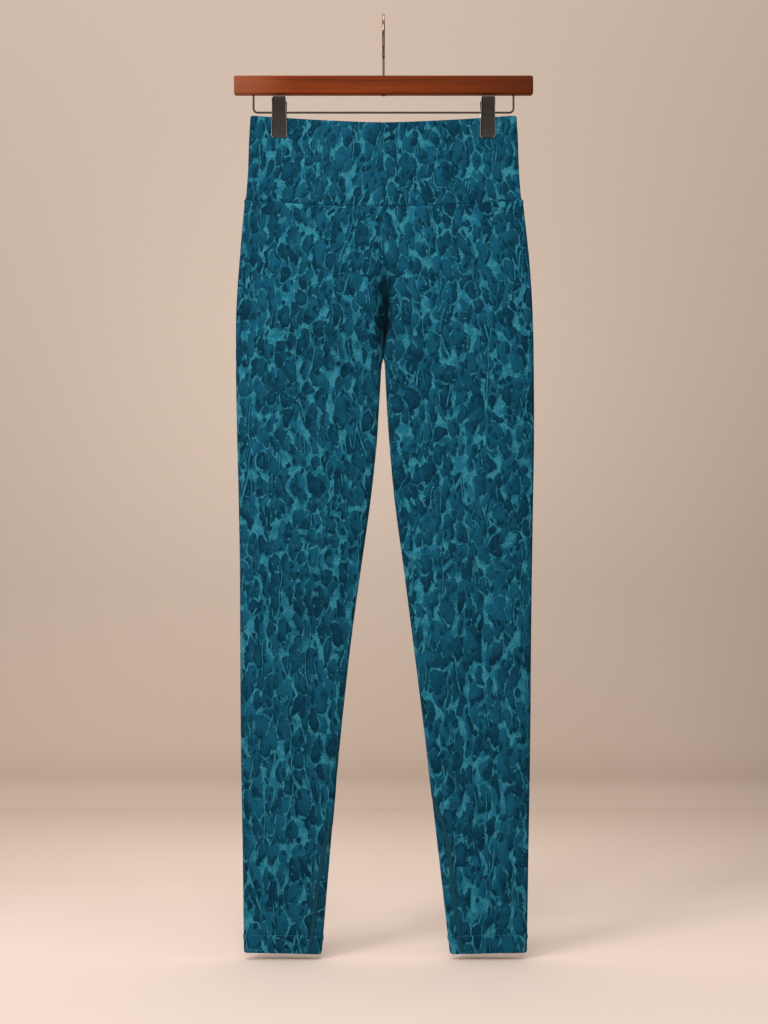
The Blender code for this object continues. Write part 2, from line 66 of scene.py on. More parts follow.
camera_data = bpy.data.cameras.new("camera")
camera_data.lens = SENSOR * CAMERA_AWAY / FRAME_HEIGHT
camera = bpy.data.objects.new("camera", camera_data)
camera.location = (CAMERA_RIGHT, -CAMERA_AWAY, CAMERA_HEIGHT)
camera.rotation_euler = (math.radians(90), 0, 0)
scene.collection.objects.link(camera)
scene.camera = camera
print(f"lens {camera_data.lens:.1f} mm")

# %% [markdown]
# ## Meshes from grids
#
# Cloth, wire and paper are all surfaces of two directions, so one helper turns a grid of points
# into a mesh. The grid can be joined round, like a tube, or only in some of its rows, like a pair
# of trousers above and below the crotch. Each corner also gets its place on the flat cloth as a UV
# map in metres: a print then keeps its true scale, and folds with the panel.

# %% Make meshes from grids
ALL_ROWS = slice(None)


def new_piece(name, points, faces):
    """A smooth mesh object of points, (count, 3), and faces."""
    mesh = bpy.data.meshes.new(name)
    mesh.from_pydata(points.tolist(), [], faces)
    mesh.shade_smooth()
    made = bpy.data.objects.new(name, mesh)
    scene.collection.objects.link(made)
    return made


def quads_of(number, turned=False):
    """The four corners of each quad between the numbers of a grid, along its last two axes."""
    quad = (number[..., :-1, :-1], number[..., 1:, :-1], number[..., 1:, 1:], number[..., :-1, 1:])
    return np.stack(quad[::-1] if turned else quad, axis=-1)


def surface(
    name, points, flat=None, gather=None, joined=None, looped=False, caps=False, turned=False
):
    """A mesh whose quads join a grid of points (rows, columns, xyz).

    joined picks the rows whose last column is their first one, looped joins the last row to the
    first, and caps closes the first and last rows with a face. flat and gather are UV maps, (rows,
    columns, 2), and turned reverses the faces.
    """
    rows, columns = points.shape[:2]
    own = np.arange(rows * columns).reshape(rows, columns)
    shared = own.copy()
    if looped:
        shared[-1] = shared[0]
    if joined is not None:
        shared[joined, -1] = shared[joined, 0]
    used, loops = np.unique(quads_of(shared, turned), return_inverse=True)
    faces = loops.reshape(-1, 4).tolist()
    if caps:
        first, last = np.searchsorted(used, shared[[0, -1], :-1]).tolist()
        faces += [first, last[::-1]]
    made = new_piece(name, points.reshape(-1, 3)[used], faces)
    corners = quads_of(own, turned).ravel()
    for label, values in (("cloth", flat), ("gather", gather)):
        if values is not None:
            layer = made.data.uv_layers.new(name=label)
            values = values.reshape(-1, 2)[corners].astype(np.float32)
            layer.uv.foreach_set("vector", values.ravel())
    return made


def unit(vectors):
    """Vectors of length one, along the last axis."""
    return vectors / np.maximum(np.linalg.norm(vectors, axis=-1, keepdims=True), 1e-12)


def fade(value, start, end):
    """1 up to start, then smoothly down to 0 at end: 1 - t*t*(3 - 2t)."""
    part = np.clip((value - start) / (end - start), 0.0, 1.0)
    return 1 - part * part * (3 - 2 * part)


def bell(value, middle, half_width):
    """A soft bell: e to the minus square of the distance from the middle in half widths."""
    return np.exp(-(((value - middle) / half_width) ** 2))


def rounding(part):
    """How far a quarter circle has fallen at each part of its radius: 1 - sqrt(1 - t*t)."""
    return 1 - np.sqrt(1 - part * part)


def table(columns, *rows):
    """A table whose columns go by name. Its lengths are in millimetres."""
    row_kind = namedtuple("row_kind", columns)
    return [row_kind(*row) for row in rows]


def read(rows, column, down):
    """A column at heights in metres: a cubic curve through its rows, kept between neighbours."""
    heights = np.array([row.down for row in rows]) * MM
    values = np.array([getattr(row, column) for row in rows])
    slopes = np.gradient(values, heights)
    index = np.clip(np.searchsorted(heights, down) - 1, 0, len(rows) - 2)
    step = heights[index + 1] - heights[index]
    t = np.clip((down - heights[index]) / step, 0.0, 1.0)
    start, end = values[index], values[index + 1]
    cubic = (
        start * (1 + 2 * t) * (1 - t) ** 2
        + step * slopes[index] * t * (1 - t) ** 2
        + end * t * t * (3 - 2 * t)
        - step * slopes[index + 1] * t * t * (1 - t)
    )
    return np.clip(cubic, np.minimum(start, end), np.maximum(start, end))


print("grid helpers ready")

# %% [markdown]
# ## Building blocks for finishes
#
# Every finish below is drawn from noise, cells and straight changes, so it has no repeat and no
# picture behind it. A socket is wrapped so that sums can be written with it: each + and * adds its
# own node. What several finishes share becomes a node group with named inputs and outputs.

# %% Prepare the shader graphs
class Value:
    """What a socket gives. Sums written with it add the nodes that work them out."""

    MIX_SOCKETS = {"RGBA": (6, 7, 2), "FLOAT": (2, 3, 0)}

    def __init__(self, net, socket):
        self.net, self.socket = net, socket

    def __add__(self, other):
        return self.net.reckon("ADD", self, other)

    def __sub__(self, other):
        return self.net.reckon("SUBTRACT", self, other)

    def __rsub__(self, other):
        return self.net.reckon("SUBTRACT", other, self)

    def __mul__(self, other):
        return self.net.reckon("MULTIPLY", self, other)

    def axis(self, letter):
        """One coordinate of a vector."""
        return self.net.put("SeparateXYZ", Vector=self)[letter]

    def ramp(self, low, high, start=0.0, end=1.0, smooth=True):
        """start where the value is low, end where it is high, with a soft or straight change."""
        settings = {"interpolation_type": "SMOOTHSTEP" if smooth else "LINEAR", "clamp": True}
        limits = {"From Min": low, "From Max": high, "To Min": start, "To Max": end}
        return self.net.put("MapRange", settings, Value=self, **limits)["Result"]

    def mix(self, first, second, kind="RGBA"):
        """The first where the value is 0, and the second where it is 1."""
        made = self.net.add("Mix", {"data_type": kind}, Factor=self)
        a, b, result = self.MIX_SOCKETS[kind]
        self.net.feed(made.inputs[a], first)
        self.net.feed(made.inputs[b], second)
        return Value(self.net, made.outputs[result])


class Graph:
    """Short ways to add nodes to a shader tree."""

    def __init__(self, tree):
        self.tree = tree

    def feed(self, socket, value):
        """Links a Value or a socket to a socket, or sets a number or a vector there."""
        value = getattr(value, "socket", value)
        if isinstance(value, bpy.types.NodeSocket):
            self.tree.links.new(value, socket)
        else:
            socket.default_value = value

    def fill(self, sockets, **values):
        """Feeds sockets by name, with _ for a space."""
        for name, value in values.items():
            self.feed(sockets[name.replace("_", " ")], value)

    def add(self, kind, settings=(), **inputs):
        """A new node, with its settings and its inputs."""
        made = self.tree.nodes.new("ShaderNode" + kind)
        for name, value in dict(settings).items():
            setattr(made, name, value)
        self.fill(made.inputs, **inputs)
        return made

    def given_by(self, node):
        """What a node gives, by name."""
        return {socket.name: Value(self, socket) for socket in node.outputs}

    def put(self, kind, settings=(), **inputs):
        """What a new node gives, by name."""
        return self.given_by(self.add(kind, settings, **inputs))

    def reckon(self, operation, *values):
        """A sum of numbers, or of vectors where one of the values is a vector or a colour."""
        kinds = [getattr(value, "socket", None) for value in values]
        vectors = any(kind is not None and kind.type in ("VECTOR", "RGBA") for kind in kinds)
        vectors = vectors or any(isinstance(value, tuple) for value in values)
        made = self.add("VectorMath" if vectors else "Math", {"operation": operation})
        for socket, value in zip(made.inputs, values):
            if vectors and not isinstance(value, Value):
                value = value[:3] if isinstance(value, tuple) else (value,) * 3
            self.feed(socket, value)
        whole = vectors and operation != "DOT_PRODUCT"
        return Value(self, made.outputs["Vector" if whole else "Value"])

    def own_place(self):
        """A place on the piece, in metres."""
        return self.put("TexCoord")["Object"]

    def flat_place(self, label="cloth"):
        """A place on the flat cloth or plate, in metres, or what else a UV map holds."""
        return self.put("UVMap", {"uv_map": label})["UV"]

    def count_cells(self, vector, turn, size):
        """A place turned, then counted in cells of a size."""
        scale = (1 / size[0], 1 / size[1], 0)
        return self.put("Mapping", Vector=vector, Rotation=(0, 0, turn), Scale=scale)["Vector"]

    def noise(self, vector, size, detail=2.0, space="2D"):
        """Noise whose blots are about as wide as size: its value and its colour."""
        settings = {"noise_dimensions": space}
        made = self.put("TexNoise", settings, Vector=vector, Scale=1 / size, Detail=detail)
        return tuple(made.values())

    def cells(self, vector, feature="F1", randomness=1.0):
        """Cells one unit wide."""
        settings = {"voronoi_dimensions": "2D", "feature": feature}
        return self.put("TexVoronoi", settings, Vector=vector, Scale=1.0, Randomness=randomness)


def shader_group(name, inputs, outputs):
    """A new node group: itself, its Graph, what it is given, and the sockets that it fills."""
    group = bpy.data.node_groups.new(name, "ShaderNodeTree")
    for way, sockets in (("INPUT", inputs), ("OUTPUT", outputs)):
        for label, kind in sockets.items():
            group.interface.new_socket(label, in_out=way, socket_type="NodeSocket" + kind)
    net = Graph(group)
    given = net.given_by(group.nodes.new("NodeGroupInput"))
    return group, net, given, group.nodes.new("NodeGroupOutput").inputs


def finish(name, **values):
    """A material: itself, its Graph and its Principled shader's inputs, some of them filled in."""
    made = bpy.data.materials.new(name)
    made.use_nodes = True
    net = Graph(made.node_tree)
    shader = made.node_tree.nodes["Principled BSDF"].inputs
    net.fill(shader, **values)
    return made, net, shader


def linear(red, green, blue):
    """A display colour from 0 to 255 as the light that a shader mixes."""
    part = np.array([red, green, blue]) / 255
    high = ((part + 0.055) / 1.055) ** 2.4
    return (*np.where(part <= 0.04045, part / 12.92, high).tolist(), 1.0)


print("graph helpers ready")

# %% [markdown]
# ## A studio with soft light
#
# A floor that bends up into a wall is called a sweep: with no sharp corner behind the garment,
# nothing draws the eye away from it. The paper's tone is a small table along its run, from the
# floor in front, over the bend, up the wall: painted light and shade, lighter on the floor in front
# and darkest at the bend. The paper is one-sided: a camera behind it looks through it, while light
# still meets it from both sides.

# %% Make the sweep
FLOOR = -1121.0 * MM
SWEEP_WIDTH = 7.0
SWEEP_FRONT = -3.2
SWEEP_BACK = 1.05
SWEEP_TOP = 2.6
SWEEP_BEND = 0.05
BEND_STEPS = 24

# Metres along the paper from its bend, and its colour there, which is painted light.
PAPER_RUN = 2.0
PAPER_PAINTED_LIGHT = (
    (-1.00, (0.78, 0.645, 0.565)),
    (-0.85, (0.76, 0.630, 0.550)),
    (-0.62, (0.63, 0.515, 0.440)),
    (-0.07, (0.51, 0.402, 0.335)),
    (0.0, (0.44, 0.340, 0.276)),
    (0.11, (0.48, 0.385, 0.317)),
    (0.40, (0.415, 0.338, 0.283)),
)


def sweep_grid():
    """Floor, quarter circle and wall: a profile of (y, z) pairs, carried across the room."""
    turn = np.linspace(-math.pi / 2, 0, BEND_STEPS)
    y = SWEEP_BACK + SWEEP_BEND * (np.cos(turn) - 1)
    z = FLOOR + SWEEP_BEND * (np.sin(turn) + 1)
    bend = np.stack([y, z], axis=1)
    profile = np.concatenate([[[SWEEP_FRONT, FLOOR]], bend, [[SWEEP_BACK, SWEEP_TOP]]])
    across = np.array([[-SWEEP_WIDTH / 2], [SWEEP_WIDTH / 2]])
    sides = np.broadcast_to(across, (len(profile), 2, 1))
    return np.concatenate([sides, np.repeat(profile[:, None], 2, axis=1)], axis=2)


def paper_finish():
    """Matt paper: its tone, painted light, by the sum of y and z, and clear where a camera sees its
    back.
    """
    made, net, shader = finish("studio_paper", Roughness=0.95)
    place = net.own_place()
    run = place.axis("Y") + place.axis("Z")
    middle = SWEEP_BACK + FLOOR
    share = run.ramp(middle - PAPER_RUN / 2, middle + PAPER_RUN / 2, smooth=False)
    # Painted light: the colour along the run stands for how the lamps fall on the paper.
    tone = net.add("ValToRGB", Fac=share)
    stops = tone.color_ramp.elements
    while len(stops) < len(PAPER_PAINTED_LIGHT):
        stops.new(1.0)
    for stop, (at, colour) in zip(stops, PAPER_PAINTED_LIGHT):
        stop.position = 0.5 + at / PAPER_RUN
        stop.color = (*colour, 1.0)
    net.fill(shader, Base_Color=tone.outputs["Color"])
    behind = net.put("NewGeometry")["Backfacing"] * net.put("LightPath")["Is Camera Ray"]
    one_sided = net.add("MixShader", Fac=behind)
    nodes = made.node_tree.nodes
    net.feed(one_sided.inputs[1], nodes["Principled BSDF"].outputs[0])
    net.feed(one_sided.inputs[2], net.add("BsdfTransparent").outputs[0])
    net.fill(nodes["Material Output"].inputs, Surface=one_sided.outputs[0])
    return made


sweep = surface("studio_sweep", sweep_grid(), turned=True)
sweep.data.materials.append(paper_finish())
print(f"floor at {FLOOR:.3f} m, wall at {SWEEP_BACK:.2f} m")

# %% [markdown]
# Cloth needs broad lamps, because a small one would give each crease a hard edge. The key lamp
# stands at the left, and a weaker one fills from the front. A wide lamp overhead lifts the floor,
# and a small one hangs behind the garment, where no view from the front sees it, and lights the
# wall. The world lights what all of them miss.

# %% Hang the lamps
Lamp = namedtuple("Lamp", "name place aim wide high watts")
LAMPS = (
    Lamp("key_lamp", (-2.7, -2.5, 1.4), (0.0, 0.0, 0.3), 1.6, 1.6, 96.0),
    Lamp("fill_lamp", (-0.1, -1.7, 0.8), (0.0, 0.0, -0.2), 1.1, 1.1, 18.0),
    Lamp("wall_lamp", (-0.05, 0.3, -0.42), (-0.05, 1.05, -0.5), 0.2, 0.5, 3.2),
    Lamp("floor_lamp", (-0.1, 0.1, 1.4), (-0.1, 0.0, -1.12), 2.6, 1.2, 30.0),
)
LAMP_COLOUR = (1.0, 0.98, 0.96)
WORLD_COLOUR = (0.95, 0.93, 0.91, 1.0)
WORLD_STRENGTH = 0.28


def hang_lamp(lamp):
    """A rectangular area lamp whose -Z axis points from its place to its aim."""
    data = bpy.data.lights.new(lamp.name, "AREA")
    data.shape = "RECTANGLE"
    data.size = lamp.wide
    data.size_y = lamp.high
    data.energy = lamp.watts
    data.color = LAMP_COLOUR
    made = bpy.data.objects.new(lamp.name, data)
    made.location = lamp.place
    direction = Vector(lamp.aim) - Vector(lamp.place)
    made.rotation_euler = direction.to_track_quat("-Z", "Y").to_euler()
    scene.collection.objects.link(made)


for lamp in LAMPS:
    hang_lamp(lamp)
world = bpy.data.worlds.new("studio_air")
world.use_nodes = True
air = world.node_tree.nodes["Background"].inputs
air["Color"].default_value = WORLD_COLOUR
air["Strength"].default_value = WORLD_STRENGTH
scene.world = world
scene.view_settings.view_transform = "Standard"
print(f"{len(LAMPS)} lamps, {sum(lamp.watts for lamp in LAMPS):.0f} W")

# %% [markdown]
# ## The cut of a leg
#
# Each leg is one panel, from the centre-front seam round the outside to the centre-back seam, sewn
# to itself by the inseam below the crotch. The tables give the edges of the hanging leg and how far
# its two faces stand apart. A tape measure down the garment gives such rows, and a smooth curve
# between them is closer to cloth than more rows would be.

# %% Measure the legs
SIDES = {"left": 1, "right": -1}
EDGES = table(
    "down left_outer left_inner right_outer right_inner",
    (217.6, 165.8, 0.02, 164.9, 0.02),
    (253, 169.8, 0.02, 168.4, 0.02),
    (289, 173.6, 0.02, 171.3, 0.02),
    (325, 176.2, 0.02, 174, 0.02),
    (361, 177.9, 0.02, 175.6, 0.02),
    (407, 178.9, 0.02, 175.7, 0.02),
    (410.5, 178.9, 1.4, 175.7, 1.7),
    (418, 179, 2.2, 175.7, 3),
    (434, 179.1, 3, 175.5, 4),
    (468, 179.3, 4.7, 174.9, 5.9),
    (503, 179.3, 6.8, 174.2, 7.9),
    (575, 178.1, 13.2, 172.4, 15.4),
    (646, 177, 22.7, 171.1, 25.4),
    (718, 176, 32.1, 170.7, 35.6),
    (860, 174.8, 49.9, 169.9, 51.6),
    (1003, 172.4, 66.6, 167.5, 64.5),
    (1112, 170.8, 79.2, 166.2, 73.6),
)

# Half depth in front and behind, what is left of it at the inner edge, fold radius at the inner
# and outer edge, and how far the panel is closed inside: 0 is open at the seam, 1 is a tube.
FORM_ROWS = table(
    "down front back rim inner_fold outer_fold closed",
    (217.6, 8.6, 8.6, 7, 7, 3.4, 0),
    (289, 10.2, 11.4, 7, 7, 3.6, 0),
    (325, 10.8, 12.6, 7.5, 7, 3.8, 0.08),
    (361, 11.4, 13.2, 8, 5.6, 3.8, 0.60),
    (385, 11.8, 13.2, 8, 5, 3.8, 0.85),
    (400, 12, 13, 7.5, 4.6, 3.8, 0.95),
    (407, 12, 12.9, 7, 4.4, 3.8, 1),
    (434, 12, 12.6, 5.6, 4.4, 3.8, 1),
    (503, 11.6, 12, 4.4, 4.4, 3.8, 1),
    (646, 10.2, 10.6, 3.8, 3.8, 3.6, 1),
    (789, 9, 9, 3.4, 3.4, 3.4, 1),
    (932, 8.6, 9, 3.4, 3.4, 3.4, 1),
    (1112, 7.4, 7.6, 3.4, 3.4, 3.4, 1),
)
LEG_WALL = 1.2 * MM
HEM_WALL = 1.8 * MM
SEAM_GAP = 0.3 * MM
SEAM_DOWN = 217.6 * MM
SEAM_DIP = 8.2 * MM
SEAM_HALF_WIDTH = 164.4 * MM
SEAM_DIP_ENDS = 325.0 * MM
CROTCH_DOWN = 407.0 * MM
HEM_BOTTOM = 1111.0 * MM
HEM_HEIGHT = 21.5 * MM
HEM_LINE = HEM_BOTTOM - HEM_HEIGHT
HEM_SLANT = 1.8 * MM
HEM_DROP = 0.6 * MM
HEM_SIDE_DROP = 1.2 * MM
CREST = 3.0
CREST_FADE = (300.0 * MM, 430.0 * MM)
print(f"inseam {(HEM_BOTTOM - CROTCH_DOWN) / MM:.0f} mm")

# %% [markdown]
# ## Creases
#
# Hung cloth carries a few long soft folds where it leaves the seat, and short sharp pulls beside
# the crotch, where two curved seams draw it together. A crease is listed: where it lies, which way
# it leans, how long, wide and deep it is. The sum of soft bells keeps them smooth where they cross.

# %% Place the creases
CREASE = "across down lean half_length half_width depth"
CREASES = {
    ("right", -1): table(
        CREASE,
        (68, 388, -10, 46, 13, 2),
        (96, 720, -6, 34, 26, 1.3),
        # Pulls beside the crotch.
        (7, 354, -44, 11, 1.7, 1.2),
        (11, 362, -46, 13, 1.7, 1.4),
        (14, 372, -50, 15, 1.9, 1.5),
        (21, 382, -48, 18, 2.6, 1.6),
        (31, 393, -42, 22, 3.6, 1.7),
        (10, 386, -62, 11, 1.7, 1.2),
        (53, 414, -26, 24, 5, 3.8),
        (30, 428, 18, 20, 5, 1),
    ),
    ("left", -1): table(
        CREASE,
        (60, 392, 8, 34, 12, 1.2),
        (104, 742, 7, 32, 26, 1.2),
        # Pulls beside the crotch.
        (9, 364, 46, 9, 1.7, 1),
        (12, 373, 46, 12, 1.8, 1.1),
        (19, 384, 40, 16, 2.6, 1.1),
        (10, 412, 30, 9, 4, 1.4),
        (31, 399, 30, 22, 4, 1.2),
        (48, 414, 12, 27, 5.4, 1.1),
        (19, 424, -20, 16, 4.6, 0.8),
    ),
    ("right", 1): table(
        CREASE,
        (74, 396, 14, 50, 14, 2.6),
        (92, 690, 8, 36, 24, 1.8),
        # Pulls under the seat.
        (26, 368, 48, 20, 4, 1),
        (36, 392, 34, 26, 5, 1.4),
        (48, 418, 18, 28, 6, 1.3),
    ),
    ("left", 1): table(
        CREASE,
        (78, 400, -12, 48, 14, 2.4),
        (100, 706, -9, 36, 24, 1.6),
        # Pulls under the seat.
        (24, 372, -50, 18, 3.8, 0.9),
        (38, 398, -32, 27, 5.2, 1.3),
        (50, 424, -15, 30, 6, 1.1),
    ),
}


def crease_relief(leg, face, x, down):
    """Depth of the creases in one face of a leg: the sum of bells along and across each one."""
    depth = np.zeros_like(x)
    for crease in CREASES[leg, face]:
        lean = math.radians(crease.lean)
        dx = x - crease.across * MM
        dz = down - crease.down * MM
        along = bell(dx * math.cos(lean) + dz * math.sin(lean), 0, crease.half_length * MM)
        over = bell(dz * math.cos(lean) - dx * math.sin(lean), 0, crease.half_width * MM)
        depth += crease.depth * MM * along * over
    return depth


print(sum(len(rows) for rows in CREASES.values()), "creases")

# %% [markdown]
# The centre front has one crease of its own. The seam runs a little off the middle, along the
# bottom of a soft trough, and lower down the two panels roll in until their folds touch. A second
# UV map carries how deep each place lies in a crease, and the finish darkens the ink there: painted
# shade, on top of the shade that the geometry casts.

# %% Sink the centre front
CENTRE_ROWS = table(
    "down seam parted trough reach rim inner_fold closed",
    (217.6, -0.8, 0, 0, 9, 8.6, 7, 0),
    (270, 0.8, 0, 0.4, 10, 9.8, 5, 0.02),
    (300, 3.4, 0, 4.4, 10, 10.8, 3.6, 0.15),
    (325, 4.6, 0, 9.2, 9, 12, 3, 0.60),
    (345, 4.4, 0.5, 10.5, 8.5, 13, 2.6, 0.90),
    (366, 3.1, 1.7, 10.5, 8, 13.2, 2.4, 0.98),
    (378, 2, 1.5, 8.4, 7, 12.4, 2, 1),
    (390, 0.9, 0.4, 5.6, 6, 12, 1.8, 1),
    (407, 0, 0, 3.6, 6, 11.2, 2.2, 1),
    (422, 0, 0, 2, 5.5, 9.6, 2.4, 1),
    (446, 0, 0, 0.8, 5, 7.4, 3.2, 1),
    (503, 0, 0, 0, 5, 4.4, 4.4, 1),
)
CENTRE_ENDS = 503.0 * MM
TROUGH_REACH = {"left": 0.45, "right": 1.2}
# Painted shade in the creases: the depth that is fully shaded, and how creases and the trough count.
CREASE_SHADE_FULL_DEPTH = 9.0 * MM
CREASE_SHADE_PER_CREASE = 1.4
CREASE_SHADE_REACH = 1.15
SEAM_NOTCH = 0.8 * MM
SEAM_NOTCH_WIDTH = 2.6 * MM
HEM_NOTCH = 0.9 * MM
HEM_NOTCH_WIDTH = 2.8 * MM
CORNER = 2.6 * MM


def inner_form(face, column, down):
    """A column of the inner edge's form. The upper front has a table of its own."""
    usual = read(FORM_ROWS, column, down)
    if face >= 0:
        return usual
    return np.where(down < CENTRE_ENDS, read(CENTRE_ROWS, column, down), usual)


def leg_edges(leg, face, down):
    """Inner and outer edge at each height, with the small bulges of the seam and the hem."""
    inner = read(EDGES, leg + "_inner", down) * MM
    outer = read(EDGES, leg + "_outer", down) * MM
    if face < 0:
        inner += read(CENTRE_ROWS, "seam", down) * MM * SIDES[leg]
        inner += read(CENTRE_ROWS, "parted", down) * MM
    outer += SEAM_NOTCH * bell(down, SEAM_DOWN + MM, SEAM_NOTCH_WIDTH)
    corner = 0.5 * CORNER * rounding(np.clip((down - (HEM_BOTTOM - CORNER)) / CORNER, 0, 1))
    bulge = HEM_NOTCH * bell(down, HEM_LINE + 3 * MM, HEM_NOTCH_WIDTH) - corner
    return inner - bulge, outer + bulge


def trough(leg, x, inner, down, spread=1.0):
    """Depth of the centre front's trough: a bell whose middle is the panel's inner edge."""
    reach = read(CENTRE_ROWS, "reach", down) * MM * TROUGH_REACH[leg] * spread
    return read(CENTRE_ROWS, "trough", down) * MM * bell(x, inner, reach)


def painted_crease_shade(leg, face, x, down):
    """Painted shade for each place in a crease: its depth as a share of a full depth, 0 to 1."""
    drawn = crease_relief(leg, face, x, down) * CREASE_SHADE_PER_CREASE
    if face < 0:
        drawn += trough(leg, x, leg_edges(leg, face, down)[0], down, CREASE_SHADE_REACH)
    return np.clip(drawn / CREASE_SHADE_FULL_DEPTH, 0, 1)


print(f"trough {max(row.trough for row in CENTRE_ROWS):.1f} mm deep")

# %% [markdown]
# ## Leg panels as thin shells
#
# A leg is a grid: columns run round the panel and rows run down it. Each face is widest along its
# crest and rounds over into the side folds. Seams pull their edges in by about a millimetre, so the
# grid is closest together there. Solidify then gives the knit its thickness, more at the hem, where
# it is turned up double.

# %% Shape the legs
LEG_SPANS = table(
    "start end rows",
    (217.9, 224, 11),
    (224, 300, 24),
    (300, 400, 62),
    (400, 430, 28),
    (430, 1084, 134),
    (1084, 1111, 32),
)
FOLD_STEPS = 8
FACE_STEPS = 62
FACE_CROWDING = 1.45
HEM_EDGE = 0.5 * MM
EDGE_ANGLE = math.radians(55)
EDGE_ROLL = 1.1 * MM
EDGE_ROLL_WIDTH = 1.5 * MM
CENTRE_ROLL = 0.7 * MM
CENTRE_ROLL_WIDTH = 1.2 * MM
CENTRE_FADE = 20.0 * MM
THINNEST = 1.2 * MM
SEAM_DEPTH = 3.0 * MM
HEM_GROOVE = 0.45 * MM
HEM_GROOVE_WIDTH = 0.9 * MM
HEM_SWELL = 0.35 * MM
HEM_RISE = 2.0 * MM
PUCKER = 0.11
PUCKER_LENGTH = 7.3 * MM


def leg_heights():
    """Rows down a leg, closest together at the seam, the crotch and the hem."""
    spans = [np.linspace(span.start, span.end, span.rows, endpoint=False) for span in LEG_SPANS]
    return np.concatenate(spans + [[LEG_SPANS[-1].end]]) * MM


def seam_dip(x, down):
    """How far the cloth hangs below its height at the side, down to SEAM_DIP_ENDS."""
    bow = 1 - np.minimum(np.abs(x) / SEAM_HALF_WIDTH, 1.0) ** 2
    return SEAM_DIP * bow * fade(down, SEAM_DOWN, SEAM_DIP_ENDS)


def leg_skin(leg, face, down, x):
    """Outer surface of one face of a leg at distances x from the middle, for a column of heights.

    The half depth from the table falls to the rim's depth by the CREST power of the way from the
    crown, each fold rounds it off as a quarter ellipse, and creases and seams sink into it.
    """
    inner, outer = leg_edges(leg, face, down)
    inner_fold = inner_form(face, "inner_fold", down) * MM
    outer_fold = read(FORM_ROWS, "outer_fold", down) * MM
    rim = inner_form(face, "rim", down) * MM
    closed = inner_form(face, "closed", down)
    half = read(FORM_ROWS, "front" if face < 0 else "back", down) * MM
    crown = 0.5 * (1 - fade(down, *CREST_FADE)) * (inner + outer)
    outward = np.clip((x - crown) / (outer - crown), 0, 1) ** CREST
    inward = np.clip((crown - x) / np.maximum(crown - inner, MM), 0, 1) ** CREST
    depth = half - (half - outer_fold) * outward - closed * (half - rim) * inward
    depth -= crease_relief(leg, face, x, down)
    if face < 0:
        depth -= trough(leg, x, inner, down)
    out_cap = np.clip(1 - (outer - x) / outer_fold, 0, 1)
    in_cap = np.clip(1 - (x - inner) / inner_fold, 0, 1)
    depth = depth * np.sqrt(1 - out_cap**2) * np.sqrt(1 - closed * in_cap**2)

    # Seams pull their edges in, and the centre front sinks into its crease.
    open_seam = fade(down, CROTCH_DOWN - CENTRE_FADE, CROTCH_DOWN)
    sink = CENTRE_ROLL * np.exp(-(x - inner) / CENTRE_ROLL_WIDTH) * open_seam
    depth -= np.minimum(sink, np.maximum(depth - THINNEST, 0))
    pucker = 1 + PUCKER * np.sin(2 * math.pi * x / PUCKER_LENGTH)
    roll = EDGE_ROLL * pucker * np.exp(-(down - SEAM_DOWN - SEAM_GAP) / EDGE_ROLL_WIDTH)
    swell = HEM_SWELL * (1 - fade(down, HEM_LINE, HEM_LINE + HEM_RISE))
    groove = HEM_GROOVE * bell(down, HEM_LINE, HEM_GROOVE_WIDTH)
    depth += (swell - roll - groove) * np.clip(depth / SEAM_DEPTH, 0, 1)

    # Towards the hem the cloth hangs a little lower, most at the inner edge.
    part = (x - inner) / (outer - inner)
    near_hem = np.clip((down - CROTCH_DOWN) / (HEM_BOTTOM - CROTCH_DOWN), 0, 1)
    drop = HEM_SLANT * (1 - part) + HEM_DROP + HEM_SIDE_DROP * (2 * part - 1) ** 2
    z = -down - seam_dip(x, down) - drop * near_hem
    return np.stack([x, face * depth, z], axis=2)


def leg_face(leg, face, down):
    """Grid of one face of a leg: a fold arc, the flat and a fold arc, from inner to outer edge.

    The flat's columns crowd towards the inner edge, by the FACE_CROWDING power of their share.
    """
    inner, outer = leg_edges(leg, face, down)
    turn = np.linspace(0, math.pi / 2, FOLD_STEPS + 1)
    inner_arc = inner + inner_form(face, "inner_fold", down) * MM * (1 - np.cos(turn))
    outer_arc = outer - read(FORM_ROWS, "outer_fold", down) * MM * (1 - np.cos(turn[::-1]))
    part = np.linspace(0, 1, FACE_STEPS + 1)[1:-1] ** FACE_CROWDING
    flat = inner_arc[:, -1:] + (outer_arc[:, :1] - inner_arc[:, -1:]) * part
    return leg_skin(leg, face, down, np.concatenate([inner_arc, flat, outer_arc], axis=1))


def flat_places(points, fold_column):
    """UV of a panel: the distance round each row from its side fold, and the height, in metres."""
    steps = np.linalg.norm(np.diff(points, axis=1), axis=2)
    round_it = np.concatenate([np.zeros((len(points), 1)), np.cumsum(steps, axis=1)], axis=1)
    round_it -= round_it[:, fold_column : fold_column + 1]
    return np.stack([round_it, -points[:, :, 2]], axis=2)


def solid_cloth(made, wall, edge=0.0):
    """Gives a shell its thickness, inwards, and rounds its raw edges."""
    cloth = made.modifiers.new("Cloth wall", "SOLIDIFY")
    cloth.thickness = wall
    cloth.offset = -1
    if edge:
        rounded = made.modifiers.new("Rounded edge", "BEVEL")
        rounded.width = edge
        rounded.segments = 2
        rounded.angle_limit = EDGE_ANGLE
    return cloth


def outer_area(points):
    """Area of a grid: half the cross product of each quad's diagonals."""
    first = points[1:, 1:] - points[:-1, :-1]
    second = points[1:, :-1] - points[:-1, 1:]
    return float(np.linalg.norm(np.cross(first, second), axis=2).sum() / 2)


